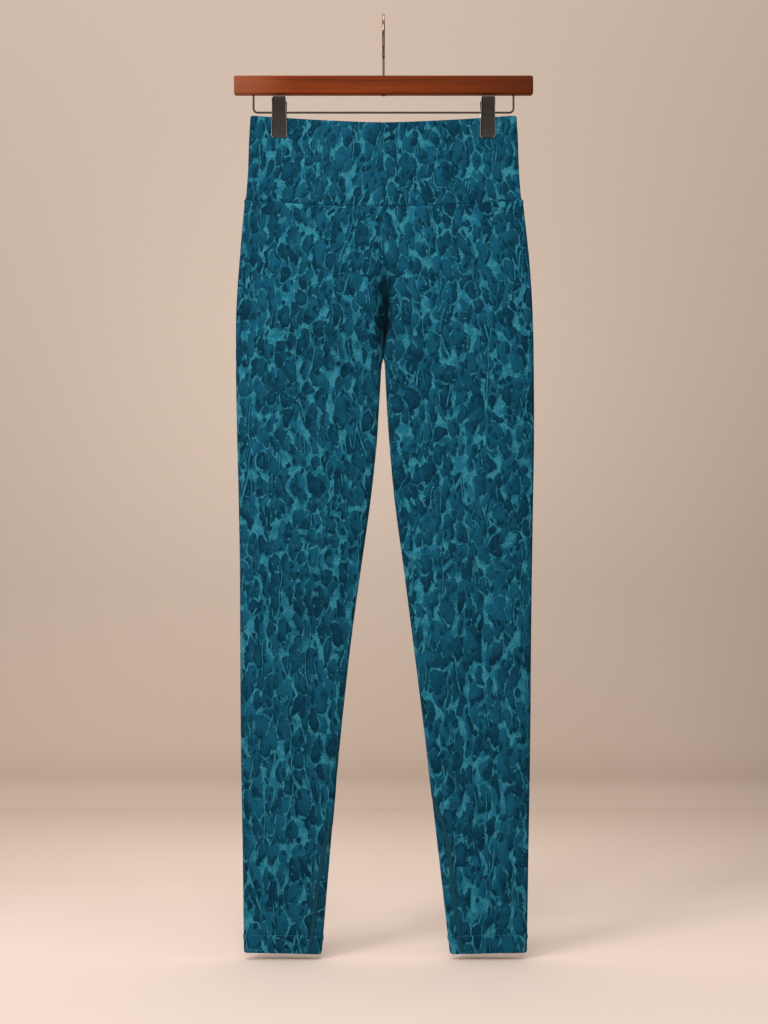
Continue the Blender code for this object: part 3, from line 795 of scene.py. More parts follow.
def sew_leg(leg):
    """A leg panel, from the centre-front seam round the outside to the centre-back seam."""
    down = leg_heights()[:, None]
    grids = [leg_face(leg, face, down) for face in (-1, 1)]
    # Painted shade: how dark each place is painted in its crease, kept as a second UV map.
    drawn = [painted_crease_shade(leg, face, grid[..., 0], down) for face, grid in zip((-1, 1), grids)]
    points, gather = (np.concatenate([f, b[:, -2::-1]], axis=1) for f, b in (grids, drawn))
    flat = flat_places(points, grids[0].shape[1] - 1)
    points[..., 0] *= SIDES[leg]
    below = down[:, 0] >= CROTCH_DOWN - MM / 100
    maps = (flat, np.stack([gather, gather], axis=2))
    made = surface(f"{leg}_leg_knit", points, *maps, joined=below, turned=leg == "right")

    cloth = solid_cloth(made, HEM_WALL, HEM_EDGE)
    places = np.empty(len(made.data.vertices) * 3, np.float32)
    made.data.vertices.foreach_get("co", places)
    in_hem = places[2::3] < -(HEM_LINE + MM)
    thick = made.vertex_groups.new(name="hem_turn_up")
    thick.add(np.flatnonzero(in_hem).tolist(), 1.0, "REPLACE")
    thick.add(np.flatnonzero(~in_hem).tolist(), LEG_WALL / HEM_WALL, "REPLACE")
    cloth.vertex_group = thick.name
    return made, points


legs, leg_points, leg_areas = {}, {}, {}
for leg in SIDES:
    legs[leg], leg_points[leg] = sew_leg(leg)
    leg_areas[leg] = outer_area(leg_points[leg])
    print(f"{leg} leg: grid {leg_points[leg].shape[:2]}, {leg_areas[leg]:.4f} square metres")

# %% [markdown]
# ## The waistband
#
# A high waistband is one loop of knit folded double, so its top edge is a fold and only its lower
# edge is sewn. It is the flattest part of a hung pair, because the clips pinch it. Its height falls
# a little towards the middle, where nothing holds it up.

# %% Shape the waistband
BAND_WALL = 1.9 * MM
BAND_EDGE = 0.8 * MM
BAND_TOP = 117.8 * MM
BAND_TOP_DIP = 8.65 * MM
BAND_TOP_BEND = 1.25
BAND_TOP_HALF_WIDTH = 158.8 * MM
BAND_CORNER = 2.4 * MM
BAND_CORNER_TAKEN = 0.6
BAND_NOTCH_SHARE = 0.026
BAND_CROWDING = 1.4
BAND_FLAT_STEPS = 62
BAND_HEIGHTS = 66
CLIP_CENTRE = 124.0 * MM
PINCH_HALF_DEPTH = 2.2 * MM
PINCH_HALF_WIDTH = 12.5 * MM
PINCH_INSIDE = 70.0 * MM
PINCH_OUTSIDE = 18.0 * MM
PINCH_DOWN = 146.0 * MM
PINCH_ENDS = 212.0 * MM

# Heights here are hundredths of the way from the band's top edge to its seam.
BAND_ROWS = table(
    "down half_width half_depth fold",
    (0, 158.4, 6.4, 2.8),
    (10, 159, 6.6, 2.8),
    (27, 160, 6.9, 2.9),
    (45, 160.6, 7.3, 3),
    (70, 161.6, 8, 3.2),
    (100, 163.9, 8.6, 3.4),
)


def band_quarter():
    """Outer surface of a quarter of the band, from the middle out: grids of x, depth and height.

    Rows crowd towards the band's two edges, by the BAND_CROWDING power of their share.
    """
    even = np.linspace(-1, 1, BAND_HEIGHTS)[:, None]
    share = 0.5 + 0.5 * np.sign(even) * (1 - (1 - np.abs(even)) ** BAND_CROWDING)
    columns = ("half_width", "half_depth", "fold")
    half_width, middle, fold = (read(BAND_ROWS, c, share * 100 * MM) * MM for c in columns)
    above = np.clip(1 - share * (SEAM_DOWN - BAND_TOP) / BAND_CORNER, 0, 1)
    half_width -= BAND_CORNER_TAKEN * BAND_CORNER * rounding(above)
    half_width += SEAM_NOTCH * bell(share, 1.0, BAND_NOTCH_SHARE)
    turn = np.linspace(math.pi / 2, 0, FOLD_STEPS + 1)
    flat = np.linspace(0, 1, BAND_FLAT_STEPS)[:-1] * (half_width - fold)
    x = np.concatenate([flat, half_width - fold * (1 - np.cos(turn))], axis=1)
    part = np.minimum(x / BAND_TOP_HALF_WIDTH, 1)
    dip = 1 - part**2 * (1 + BAND_TOP_BEND - BAND_TOP_BEND * part)
    top = BAND_TOP + BAND_TOP_DIP * dip
    down = top + (SEAM_DOWN + seam_dip(x, SEAM_DOWN) - top) * share

    open_depth = fold + (middle - fold) * (1 - (x / half_width) ** CREST)
    reach = np.abs(x - CLIP_CENTRE) - PINCH_HALF_WIDTH
    width = np.where(x < CLIP_CENTRE, PINCH_INSIDE, PINCH_OUTSIDE)
    pinch = fade(reach / width, 0.0, 1.0) * fade(down, PINCH_DOWN, PINCH_ENDS)
    depth = open_depth + (np.minimum(PINCH_HALF_DEPTH, open_depth) - open_depth) * pinch
    roll = EDGE_ROLL * np.exp(-(1 - share) * (SEAM_DOWN - BAND_TOP) / EDGE_ROLL_WIDTH)
    depth -= roll * np.clip(depth / SEAM_DEPTH, 0, 1)
    depth *= np.sqrt(1 - np.clip(1 - (half_width - x) / fold, 0, 1) ** 2)
    return x, depth, down


def around(quarter, signs):
    """A quarter's grid repeated round the loop: front left, back left, back right, front right."""
    parts = (quarter, quarter[:, -2::-1], quarter[:, 1:], quarter[:, -2::-1])
    return np.concatenate([part * sign for part, sign in zip(parts, signs)], axis=1)


def sew_waistband():
    """The doubled band as one closed loop."""
    x, depth, down = band_quarter()
    parts = (around(x, (1, 1, -1, -1)), around(depth, (-1, 1, 1, -1)), around(down, (-1,) * 4))
    points = np.stack(parts, axis=2)
    made = surface("waistband_knit", points, flat_places(points, x.shape[1] - 1), joined=ALL_ROWS)
    solid_cloth(made, BAND_WALL, BAND_EDGE)
    return made, points


waistband, band_points = sew_waistband()
print(f"band: grid {band_points.shape[:2]}, {outer_area(band_points):.4f} square metres")

# %% [markdown]
# ## The inseams
#
# The inseam is a flatlock: the two edges lie flat beside each other under a ladder of thread about
# 5 mm wide, which stays flat against the skin. It starts at the crotch on the inner fold, runs just
# behind it and comes round to the front near the ankle, because the panel twists a little as it
# hangs. A ribbon of its own, laid on the leg's surface, keeps the ladder crisp.

# %% Lay the inseams
# Distance round the leg from its inner edge: more than 0 in front, less behind.
INSEAMS = {
    "left": table(
        "down round_it",
        (409, -1.5),
        (520, -4),
        (700, -4.5),
        (880, -4),
        (915, 0.5),
        (945, 8.5),
        (978, 14.6),
        (1003, 14.9),
        (1054, 14.5),
        (1109, 16),
    ),
    "right": table(
        "down round_it",
        (409, -1.5),
        (520, -4),
        (700, -5),
        (905, -4),
        (945, 0.5),
        (980, 8),
        (1012, 12),
        (1054, 14.2),
        (1088, 15.2),
        (1109, 17.4),
    ),
}
INSEAM_WIDTH = 4.7 * MM
INSEAM_STEPS = 12
INSEAM_PITCH = 1.7 * MM
INSEAM_ROWS_PER_PITCH = 5
INSEAM_RAISE = 0.22 * MM
INSEAM_RIDGE = 0.13 * MM
INSEAM_WALL = 0.6 * MM
RAIL_AT = 0.78
RAIL_WIDTH = 0.16


def round_leg(leg, down, arc):
    """Points at distances round a leg from its inner edge.

    On the fold the distance is the fold radius times an angle, and beyond it it is a flat length.
    """
    inner = leg_edges(leg, 0, down)[0]
    fold = read(FORM_ROWS, "inner_fold", down) * MM
    angle = np.minimum(np.abs(arc) / fold, math.pi / 2)
    beyond = np.maximum(np.abs(arc) - fold * math.pi / 2, 0)
    x = inner + fold * (1 - np.cos(angle)) + beyond
    in_front = (arc >= 0)[..., None]
    return np.where(in_front, leg_skin(leg, -1, down, x), leg_skin(leg, 1, down, x))


def outward_from(points):
    """Unit normals of a grid whose faces look outward: the cross product of its two directions."""
    across = np.gradient(points, axis=1)
    along = np.gradient(points, axis=0)
    return unit(np.cross(along, across))


def lay_inseam(leg):
    """A ribbon of ladder stitches that follows the inner fold of a leg.

    Rungs are a cosine down the ribbon that slants across it, and a soft bell is the rail at each
    side.
    """
    rows = INSEAMS[leg]
    start, end = rows[0].down * MM, rows[-1].down * MM
    count = int((end - start) / INSEAM_PITCH) * INSEAM_ROWS_PER_PITCH
    down = np.linspace(start, end, count)[:, None]
    place = np.linspace(-1, 1, INSEAM_STEPS)
    arc = read(rows, "round_it", down) * MM - place * INSEAM_WIDTH / 2
    points = round_leg(leg, down, arc)
    ladder = np.cos(2 * math.pi * (down / INSEAM_PITCH + 0.5 * place))
    rails = bell(np.abs(place), RAIL_AT, RAIL_WIDTH)
    lift = INSEAM_RAISE * (1 - place**4) + INSEAM_RIDGE * (ladder * (1 - rails) + rails)
    points += outward_from(points) * lift[..., None]
    flat = np.stack([0 * lift + place * INSEAM_WIDTH / 2, down + 0 * lift], axis=2)
    points[..., 0] *= SIDES[leg]
    made = surface(f"{leg}_inseam_thread", points, flat, turned=leg == "right")
    solid_cloth(made, INSEAM_WALL)
    return made


inseams = {leg: lay_inseam(leg) for leg in SIDES}
print("inseam vertices:", [len(made.data.vertices) for made in inseams.values()])

# %% [markdown]
# ## Behind the rise seams
#
# The two legs are joined at the centre front and back by an overlock, whose trimmed edges lie open
# inside. Between two panels that only come close, daylight would show. The strip of those edges
# closes the gap, as it does on the real seam, and its near-black thread is painted shade for the
# dark slit of the crease.

# %% Back the seams
ALLOWANCE = 4.0 * MM
ALLOWANCE_DEPTH = 1.45 * MM
ALLOWANCE_WALL = 0.4 * MM
ALLOWANCE_STEPS = 8
ALLOWANCE_ROWS = 90
LEAST_DEPTH = 0.5 * MM


def back_rise(name, face):
    """The overlocked edges behind a rise seam: a level strip, a little inside the seam's depth."""
    down = np.linspace(SEAM_DOWN + 2 * MM, CROTCH_DOWN - 2 * MM, ALLOWANCE_ROWS)[:, None]
    out = np.linspace(0, ALLOWANCE, ALLOWANCE_STEPS + 1)
    halves = {}
    for leg, side in SIDES.items():
        half = leg_skin(leg, face, down, leg_edges(leg, face, down)[0] + out)
        half[..., 0] *= side
        half[..., 1] = face * np.maximum(np.abs(half[:, :1, 1]) - ALLOWANCE_DEPTH, LEAST_DEPTH)
        halves[leg] = half
    points = np.concatenate([halves["right"][:, :0:-1], halves["left"]], axis=1)
    made = surface(name, points, turned=face > 0)
    solid_cloth(made, ALLOWANCE_WALL)
    return made


rises = [back_rise("front_rise_overlock", -1), back_rise("back_rise_overlock", 1)]
print("rise seam vertices:", [len(piece.data.vertices) for piece in rises])

# %% [markdown]
# ## The hem stitches
#
# A hem is held by a row of stitches, which the stretch of the cloth pulls into short raised dashes.
# Each dash is a small capsule with few faces, and one mesh holds all of a leg's.

# %% Stitch the hems
STITCH = 2.9 * MM
STITCH_GAP = 0.9 * MM
STITCH_RADIUS = 0.36 * MM
STITCH_SIDES = 6
STITCH_SUNK = 0.35
STITCH_TIP = 0.02
STITCH_PROFILE = np.array([0.0, 0.45, 0.85, 1.0, 1.0, 0.85, 0.45, 0.0])
STITCH_PLACES = np.array([0.0, 0.03, 0.12, 0.3, 0.7, 0.88, 0.97, 1.0])


def stitch_hem(leg):
    """A row of dashes round a leg: each a small capsule that follows the cloth's surface.

    Dashes are placed by distance along the row of the leg's grid, and each one's radius swells and
    closes by STITCH_PROFILE.
    """
    points = leg_points[leg][:, :: SIDES[leg]]
    row = int(np.argmin(np.abs(leg_heights() - HEM_LINE)))
    ring, normals = points[row], outward_from(points)[row]
    step = np.linalg.norm(np.diff(ring, axis=0), axis=1)
    distance = np.concatenate([[0], np.cumsum(step)])
    count = int(distance[-1] / (STITCH + STITCH_GAP))
    starts = np.arange(count) * distance[-1] / count
    at = starts[:, None] + STITCH_PLACES * STITCH
    place = np.stack([np.interp(at, distance, axis) for axis in ring.T], axis=-1)
    normal = unit(np.stack([np.interp(at, distance, axis) for axis in normals.T], axis=-1))
    sideways = np.cross(unit(np.gradient(place, axis=1)), normal)[:, :, None]
    normal = normal[:, :, None]
    turn = np.linspace(0, 2 * math.pi, STITCH_SIDES + 1)[:, None]
    radius = STITCH_RADIUS * np.maximum(STITCH_PROFILE, STITCH_TIP)[:, None, None]
    centre = place[:, :, None] + STITCH_SUNK * STITCH_RADIUS * normal
    capsules = centre + radius * (np.cos(turn) * normal + np.sin(turn) * sideways)
    number = np.arange(capsules[..., 0].size).reshape(capsules.shape[:3])
    number[..., -1] = number[..., 0]
    ends = np.concatenate([number[:, 0, :-1], number[:, -1, -2::-1]])
    used, loops = np.unique(quads_of(number), return_inverse=True)
    faces = loops.reshape(-1, 4).tolist() + np.searchsorted(used, ends).tolist()
    return new_piece(f"{leg}_hem_thread", capsules.reshape(-1, 3)[used], faces)


hem_threads = {leg: stitch_hem(leg) for leg in SIDES}
print("hem stitch vertices:", [len(made.data.vertices) for made in hem_threads.values()])

# %% [markdown]
# ## Wires
#
# The hook, the stem, the wire and the springs are all round wire bent along a path. A ring of
# points is carried along the path, square to it, and the radius can change on the way, for a drawn
# tip or a riveted head. A fixed direction square to the bends keeps the ring from twisting.

# %% Bend the wires
BAR_LENGTH = 355.6 * MM
BAR_BOTTOM = -92.6 * MM
HOOK_WIRE = 3.4 * MM
HOOK_INSIDE = 40.0 * MM
HOOK_NECK_BEND = 8.0 * MM
HOOK_TIP_ANGLE = math.radians(-25)
HOOK_TIP_TAPER = 0.2
HOOK_TIP_RINGS = 8
HOOK_TIP_DOME = 1.3 * MM
HOOK_STEPS = 110
STEM_WIRE = 2.6 * MM
STEM_HEAD = 5.2 * MM
STEM_HEAD_DEPTH = 1.2 * MM
STEM_STEPS = 20
CLIP_WIRE = 2.4 * MM
CLIP_WIRE_DOWN = 113.6 * MM
CLIP_WIRE_HALF_SPAN = 154.7 * MM
CLIP_WIRE_BEND = 5.0 * MM
CLIP_WIRE_SOCKET = 13.0 * MM
HOOK_RADIUS = (HOOK_INSIDE + HOOK_WIRE) / 2
HOOK_NECK = -HOOK_INSIDE / 2 - math.sqrt(HOOK_RADIUS**2 + 2 * HOOK_RADIUS * HOOK_NECK_BEND)


def bend(centre, radius, start, end, steps):
    """Points of an arc, as (across, up) pairs."""
    turn = np.linspace(start, end, steps + 1)
    return np.stack([centre[0] + radius * np.cos(turn), centre[1] + radius * np.sin(turn)], axis=1)


def wire(name, path, radius, square_to, sides=24):
    """A round wire: rings of points round each point of a path, with flat ends."""
    radius = np.broadcast_to(radius, len(path))[:, None, None]
    along = unit(np.gradient(path, axis=0))
    first = unit(np.cross(square_to, along))
    second = np.cross(first, along)
    turn = np.linspace(0, 2 * math.pi, sides + 1)[:, None]
    ring = np.cos(turn) * first[:, None] + np.sin(turn) * second[:, None]
    return surface(name, path[:, None] + radius * ring, joined=ALL_ROWS, caps=True)


def bend_hook():
    """The question mark: a short neck bend, then most of a circle whose crown is the origin.

    Its tip is drawn thinner over the last rings and closed by a quarter-circle dome.
    """
    centre = (0.0, -HOOK_INSIDE / 2)
    meet = math.atan2(centre[1] - HOOK_NECK, HOOK_NECK_BEND)
    neck = bend((-HOOK_NECK_BEND, HOOK_NECK), HOOK_NECK_BEND, 0, meet, 16)
    circle = bend(centre, HOOK_RADIUS, meet + math.pi, HOOK_TIP_ANGLE, HOOK_STEPS)
    pairs = np.concatenate([neck, circle[1:]])
    path = np.stack([0 * pairs[:, 0], pairs[:, 0], pairs[:, 1]], axis=1)
    left = np.arange(len(path))[::-1]
    taper = 1 - HOOK_TIP_TAPER * (1 - np.minimum(left / HOOK_TIP_RINGS, 1))
    radius = HOOK_WIRE / 2 * taper
    turn = np.linspace(0, math.pi / 2, 7)[1:]
    dome = path[-1] + unit(path[-1] - path[-2]) * HOOK_TIP_DOME * np.sin(turn)[:, None]
    radius = np.concatenate([radius, radius[-1] * np.maximum(np.cos(turn), 0.05)])
    return wire("hook_wire", np.concatenate([path, dome]), radius, (1, 0, 0), sides=32)


def turn_stem():
    """A straight rod whose lower end is riveted over under the bar."""
    low = BAR_BOTTOM - SEAM_GAP
    turn = np.linspace(0, math.pi / 2, 6)
    rod = np.linspace(HOOK_NECK - SEAM_GAP, low + MM / 100, STEM_STEPS)
    heights = np.concatenate([rod, low - STEM_HEAD_DEPTH * np.sin(turn)])
    head_radius = STEM_HEAD / 2 * np.maximum(np.cos(turn), 0.1) ** 0.6
    radius = np.concatenate([np.full(STEM_STEPS, STEM_WIRE / 2), head_radius])
    path = np.stack([0 * heights, 0 * heights, heights], axis=1)
    return wire("stem_rod", path, radius, (1, 0, 0))


def bend_clip_wire():
    """The wire that the clips slide on: one half, and its mirror image.

    It runs level, and then its end turns up into the wood.
    """
    side, corner = CLIP_WIRE_HALF_SPAN, CLIP_WIRE_HALF_SPAN - CLIP_WIRE_BEND
    height = -CLIP_WIRE_DOWN + CLIP_WIRE_BEND
    level = np.linspace(-corner + MM, corner - MM, 30)[15:]
    turned = bend((corner, height), CLIP_WIRE_BEND, 1.5 * math.pi, 2 * math.pi, 12)
    up = np.linspace(height + MM, BAR_BOTTOM + CLIP_WIRE_SOCKET, 6)
    across = np.concatenate([level, turned[:, 0], np.full(6, side)])
    height = np.concatenate([np.full(15, -CLIP_WIRE_DOWN), turned[:, 1], up])
    half = np.stack([across, 0 * across, height], axis=1)
    path = np.concatenate([half[::-1] * (-1, 1, 1), half])
    return wire("clip_wire_rod", path, CLIP_WIRE / 2, (0, 1, 0))


hook, stem, clip_wire = bend_hook(), turn_stem(), bend_clip_wire()
print("wire vertices:", [len(piece.data.vertices) for piece in (hook, stem, clip_wire)])

# %% [markdown]
# ## Clips
#
# A trouser clip is two pressed plates that pivot on the wire, driven together by a torsion spring.
# The press turns a bead up along each side of a plate, which stiffens it, and that bead takes the
# polish first. Each plate has two tabs round the wire, one pair inside the other.

# %% Press the clips
PLATE = 1.2 * MM
PLATE_WALL = 1.0 * MM
PLATE_EDGE = 0.3 * MM
PLATE_CORNER = 3.2 * MM
PLATE_CROWN = 0.18 * MM
PLATE_HEIGHTS = 64
EAR = 1.0 * MM
EAR_RADIUS = 3.4 * MM
EAR_HOLE = CLIP_WIRE / 2 + SEAM_GAP
EAR_STEPS = 41
SPRING_WIRE = 0.8 * MM
SPRING_RADIUS = 2.9 * MM
SPRING_HALF_LENGTH = 4.6 * MM
SPRING_TURNS = 5
SPRING_STEPS = 24
SPRING_ARM_UP = 11.0 * MM
SPRING_ARM_GAP = 0.5 * MM
SPRING_ARM_BEND = 1.15 * SPRING_RADIUS
PLATE_ROWS = table(
    "down away half_width",
    (96.7, 12, 7.6),
    (97.5, 11.9, 8.1),
    (113.6, 7.9, 8.5),
    (138, 4, 9.4),
    (141.6, 3.7, 9.5),
    (143.9, 3.7, 9.5),
)
TOP_ROW, FINGER_ROW, PIVOT_ROW = PLATE_ROWS[:3]
PIVOT_AWAY = PIVOT_ROW.away * MM

# The press's section across a plate: distance in from its side, and height of the surface there.
SECTION = table(
    "inset lift", (0, -0.45), (0.12, -0.14), (0.35, 0), (0.8, 0), (1.05, -0.16), (1.3, -0.4)
)
PLATE_MIDDLE = np.linspace(0.12, 0.88, 9)


def press_plate(name, centre, side):
    """A plate as a grid: rows lean in to the jaw, columns follow the press's section."""
    end = PLATE_ROWS[-1].down * MM
    down = np.linspace(TOP_ROW.down * MM, end, PLATE_HEIGHTS)[:, None]
    away = read(PLATE_ROWS, "away", down) * MM
    t = np.clip((down - (end - PLATE_CORNER)) / PLATE_CORNER, 0, 1)
    half = read(PLATE_ROWS, "half_width", down) * MM - PLATE_CORNER * rounding(0.98 * t)
    inset, lift = (np.array([getattr(at, c) for at in SECTION]) * MM for c in ("inset", "lift"))
    start = -half + inset[-1]
    middle = start - 2 * start * PLATE_MIDDLE
    x = np.concatenate([-half + inset, middle, half - inset[::-1]], axis=1)
    crown = PLATE_CROWN * (1 - (middle / half) ** 2) + lift[-1]
    bead = np.broadcast_to(lift, (len(down), len(lift)))
    lift = np.concatenate([bead, crown, bead[:, ::-1]], axis=1)
    points = np.stack([centre + x, side * (away + lift), -down + 0 * x], axis=2)
    flat = np.stack([np.minimum(half - x, half + x), down + 0 * x], axis=2)
    made = surface(name, points, flat, turned=side > 0)
    solid_cloth(made, PLATE_WALL, PLATE_EDGE)
    return made


def cut_ear(name, x, side):
    """A tab round the wire: a plate with a round hole, square where it meets its clip plate."""
    turn = np.linspace(0, 2 * math.pi, EAR_STEPS)
    towards = np.cos(turn)
    root = PIVOT_AWAY - PLATE / 2
    reach = np.where(towards > 0, root * np.minimum(2 * towards, 1), EAR_RADIUS * towards)
    outer = np.stack([side * reach, EAR_RADIUS * np.sin(turn)], axis=1)
    hole = EAR_HOLE * np.stack([side * towards, np.sin(turn)], axis=1)
    low, high = x - EAR / 2, x + EAR / 2
    rings = ((low, outer), (high, outer), (high, hole), (low, hole), (low, outer))
    sides = [np.concatenate([np.full((EAR_STEPS, 1), at), ring], axis=1) for at, ring in rings]
    points = np.stack(sides) - (0, 0, CLIP_WIRE_DOWN)
    made = surface(name, points, joined=ALL_ROWS, looped=True, turned=side > 0)
    made.data.shade_flat()
    return made


def wind_spring(name, centre):
    """A torsion spring: a helix round the wire, and two arms that press the plates apart."""
    turns = np.linspace(0, SPRING_TURNS, SPRING_TURNS * SPRING_STEPS + 1)
    angle = math.pi + turns * 2 * math.pi
    x = centre + SPRING_HALF_LENGTH * (2 * turns / SPRING_TURNS - 1)
    coil = np.stack([x, SPRING_RADIUS * np.cos(angle), SPRING_RADIUS * np.sin(angle)], axis=1)
    lean = (FINGER_ROW.away - PIVOT_ROW.away) / (PIVOT_ROW.down - FINGER_ROW.down)
    reach = PIVOT_AWAY + lean * SPRING_ARM_UP - PLATE - SPRING_WIRE / 2 - SPRING_ARM_GAP
    part = np.linspace(0, 1, 8)[:, None]
    first = np.array([x[0], -reach, SPRING_ARM_UP])
    last = np.array([x[-1], reach, SPRING_ARM_UP])
    leave = np.array([x[-1], SPRING_RADIUS / 2, SPRING_ARM_BEND])
    start, end = first + (coil[0] - first) * part[:-1], leave + (last - leave) * part
    path = np.concatenate([start, coil[:-1], end]) - (0, 0, CLIP_WIRE_DOWN)
    return wire(name, path, SPRING_WIRE / 2, (1, 0, 0), sides=12)


clips = {}
for word, side in SIDES.items():
    middle = side * CLIP_CENTRE
    outside = PIVOT_ROW.half_width * MM - EAR / 2 - SEAM_GAP / 2
    for face, place, ear_at in ((-1, "front", outside), (1, "back", outside - EAR - SEAM_GAP)):
        clip = f"clip_{word}_{place}"
        plate = press_plate(f"{clip}_plate", middle, face)
        ears = [cut_ear(f"{clip}_tab_{n}", middle + s * ear_at, face) for n, s in ((1, -1), (2, 1))]
        clips[clip] = (plate, *ears)
    clips[f"clip_{word}_spring"] = (wind_spring(f"clip_{word}_coil", middle),)
print("clip pieces:", sum(len(pieces) for pieces in clips.values()))

# %% [markdown]
# ## A mottled print
#
# The print is all over: rounded dark blots that overlap like scales, with pale web left between
# them where they thin out. Three sizes of cell give the blots, each drawn over the last with a
# shadow on its lower side and here and there a pale rim. The coordinate is bent first, so that no
# two blots are the same oval. Ink on brushed knit is never flat, so fine grain finishes it.

# %% Draw the print
INK_DEEP = linear(5, 37, 54)
INK_DARK = linear(7, 47, 65)
INK_MID = linear(19, 84, 110)
INK_WEB = linear(27, 99, 124)
INK_WEB_LIGHT = linear(46, 124, 143)
INK_SPECK = linear(74, 158, 173)

# Blots of each layer: cell size across and along (m), turn, radius range in cells, how much it
# grows where the web is shut, where its random field lies, share of cells drawn, tone, pale rim.
Blots = namedtuple("Blots", "size turn radius grow at share tone rim")
BLOT_LAYERS = (
    Blots((0.0096, 0.0215), 0.16, (0.40, 0.56), 0.14, (0.3, 0.8, 0), 1.00, (0.12, 0.60), 0.75),
    Blots((0.0180, 0.0330), -0.24, (0.26, 0.44), 0.04, (0.9, 0.2, 0), 0.55, (0.12, 0.60), 0.85),
    Blots((0.0056, 0.0108), 0.12, (0.26, 0.38), 0.00, (0.5, 0.6, 0), 0.34, (0.00, 0.35), 0.00),
)
LAYER_SHIFT = (0.37, 0.2)
BLOT_RANDOMNESS = 0.9
LIGHT_FROM = (0.55, 0.83, 0.0)
SWAY = (0.017, 0.012, 0)
SWAY_SIZE = 0.034
TEAR = 0.0046
TEAR_SIZE = 0.0070
WANDER_SIZE = 0.020
FRAY = 0.08
FRAY_SIZE = 0.0024
CLOUD_SIZE = 0.012
STROKE_SIZE = (0.013, 0.075)
STROKE_TURN = 0.09
SPECK_SIZE = 0.0095


def draw_print():
    """The group: a place on the cloth, in metres, gives the ink's colour and whether it is web."""
    gives = {"Color": "Color", "Web": "Float"}
    group, net, given, result = shader_group("mottled_print", {"Cloth": "Vector"}, gives)
    place = given["Cloth"]

    def field(size, shift=(0, 0, 0), detail=1.0, stretch=(1, 1, 1)):
        return net.noise((place + shift) * stretch, size, detail)

    # Bend the coordinate, and ask at each place how open the web is and how frayed the ink.
    sway = (field(SWAY_SIZE)[1] - 0.5) * SWAY
    tear = (field(TEAR_SIZE, detail=2.0, stretch=(1, 0.7, 1))[1] - 0.5) * TEAR
    bent = place + sway + tear
    wander = field(WANDER_SIZE, (0.7, 0.3, 0), 2.0, (1, 0.6, 1))[0]
    shut = wander.ramp(0.36, 0.60, 1.0, 0.0, smooth=False)
    fray = (field(FRAY_SIZE)[0] - 0.5) * FRAY
    web_ink = field(0.011, detail=3.0)[0].ramp(0.36, 0.62).mix(INK_WEB, INK_WEB_LIGHT)
    web = wander.ramp(0.30, 0.34)
    colour = web.mix(INK_DARK, web_ink)

    for number, blots in enumerate(BLOT_LAYERS):
        wide, share = blots.size[0], blots.share
        shift = (LAYER_SHIFT[0] * number, LAYER_SHIFT[1] * number, 0)
        cell_place = net.count_cells(bent + shift, blots.turn, blots.size)
        cell = net.cells(cell_place, randomness=BLOT_RANDOMNESS)
        toned, sized, drawn = net.put("SeparateColor", Color=cell["Color"]).values()
        slope = net.reckon("DOT_PRODUCT", cell_place - cell["Position"], LIGHT_FROM)
        radius = sized.ramp(0.0, 1.0, *blots.radius, smooth=False) + shut * blots.grow + fray
        beyond = cell["Distance"] - radius
        shown = drawn.ramp(share, share - 0.02)
        inside = beyond.ramp(0.008, -0.012) * shown
        if share == 1.0:
            border = net.cells(cell_place, "DISTANCE_TO_EDGE", BLOT_RANDOMNESS)["Distance"]
            cut = field(0.009, (0.1, 0.9, 0))[0].ramp(0.40, 0.52, 1.0, 0.15)
            uncut = net.reckon("MAXIMUM", cut, border.ramp(0.02, 0.07))
            inside = net.reckon("MINIMUM", inside, uncut)

        # A blot is lighter on one side, and shades what lies under its other side.
        cloud = field(CLOUD_SIZE, blots.at, 3.0)[0] - 0.5
        tone = toned * blots.tone[1] + blots.tone[0] + cloud * 0.7 - slope * 0.45
        tone -= beyond.ramp(-0.16, 0.0, 0.0, 0.30)
        blot_ink = tone.ramp(0.0, 0.8, smooth=False).mix(INK_DARK, INK_MID)
        shade = beyond.ramp(0.16, 0.0) * slope.ramp(0.05, 0.40)
        line = beyond.ramp(0.0005 / wide, -0.0002 / wide) * 0.6
        shade = net.reckon("MAXIMUM", shade, line) * shown * 0.80
        colour = inside.mix(shade.mix(colour, INK_DEEP), blot_ink)
        web *= 1.0 - inside
        if blots.rim:
            off_rim = net.reckon("ABSOLUTE", beyond - 0.02)
            there = (blots.at[1], blots.at[0], 0)
            where = field(0.010, there)[0].ramp(0.44, 0.52, 0.0, blots.rim)
            rim = off_rim.ramp(0.0010 / wide, 0.0004 / wide) * where * shown
            colour = rim.mix(colour, web_ink)
            web = net.reckon("MAXIMUM", web, rim)

    # A few long strokes run up and down, pale with a dark side, and pale specks lie anywhere.
    stroke = net.count_cells(place + sway * 0.4, STROKE_TURN, STROKE_SIZE)
    edge = net.cells(stroke, "DISTANCE_TO_EDGE")["Distance"]
    where = field(0.016, (0.5, 0.2, 0), 1.0, (1, 0.4, 1))[0].ramp(0.60, 0.63)
    dark = edge.ramp(0.20, 0.08, 0.0, 0.7) * where
    pale = edge.ramp(0.060, 0.030, 0.0, 0.8) * where
    colour = pale.mix(dark.mix(colour, INK_DEEP), web_ink)
    specks = net.cells(place * (1 / SPECK_SIZE))
    chance = net.put("SeparateColor", Color=specks["Color"])["Red"]
    size = chance.ramp(0.70, 1.0, 0.0, 0.11, smooth=False)
    speck = (size - specks["Distance"]).ramp(0.0, 0.04, 0.0, 0.6)
    web = net.reckon("MAXIMUM", web, pale)
    net.fill(result, Color=speck.mix(colour, INK_SPECK), Web=web)
    return group


print_group = draw_print()
print(f"print: {len(print_group.nodes)} nodes")

# %% [markdown]
# ## Knit and thread
#
# Brushed polyester knit scatters light: it is rough, with a faint sheen where the nap is seen edge
# on. Each panel is cut from another part of the roll, so the print is shifted from piece to piece
# and doesn't run on across a seam. Below the knee the legs are stretched, and the print with them.
# Thread is darker and browner than the ink.

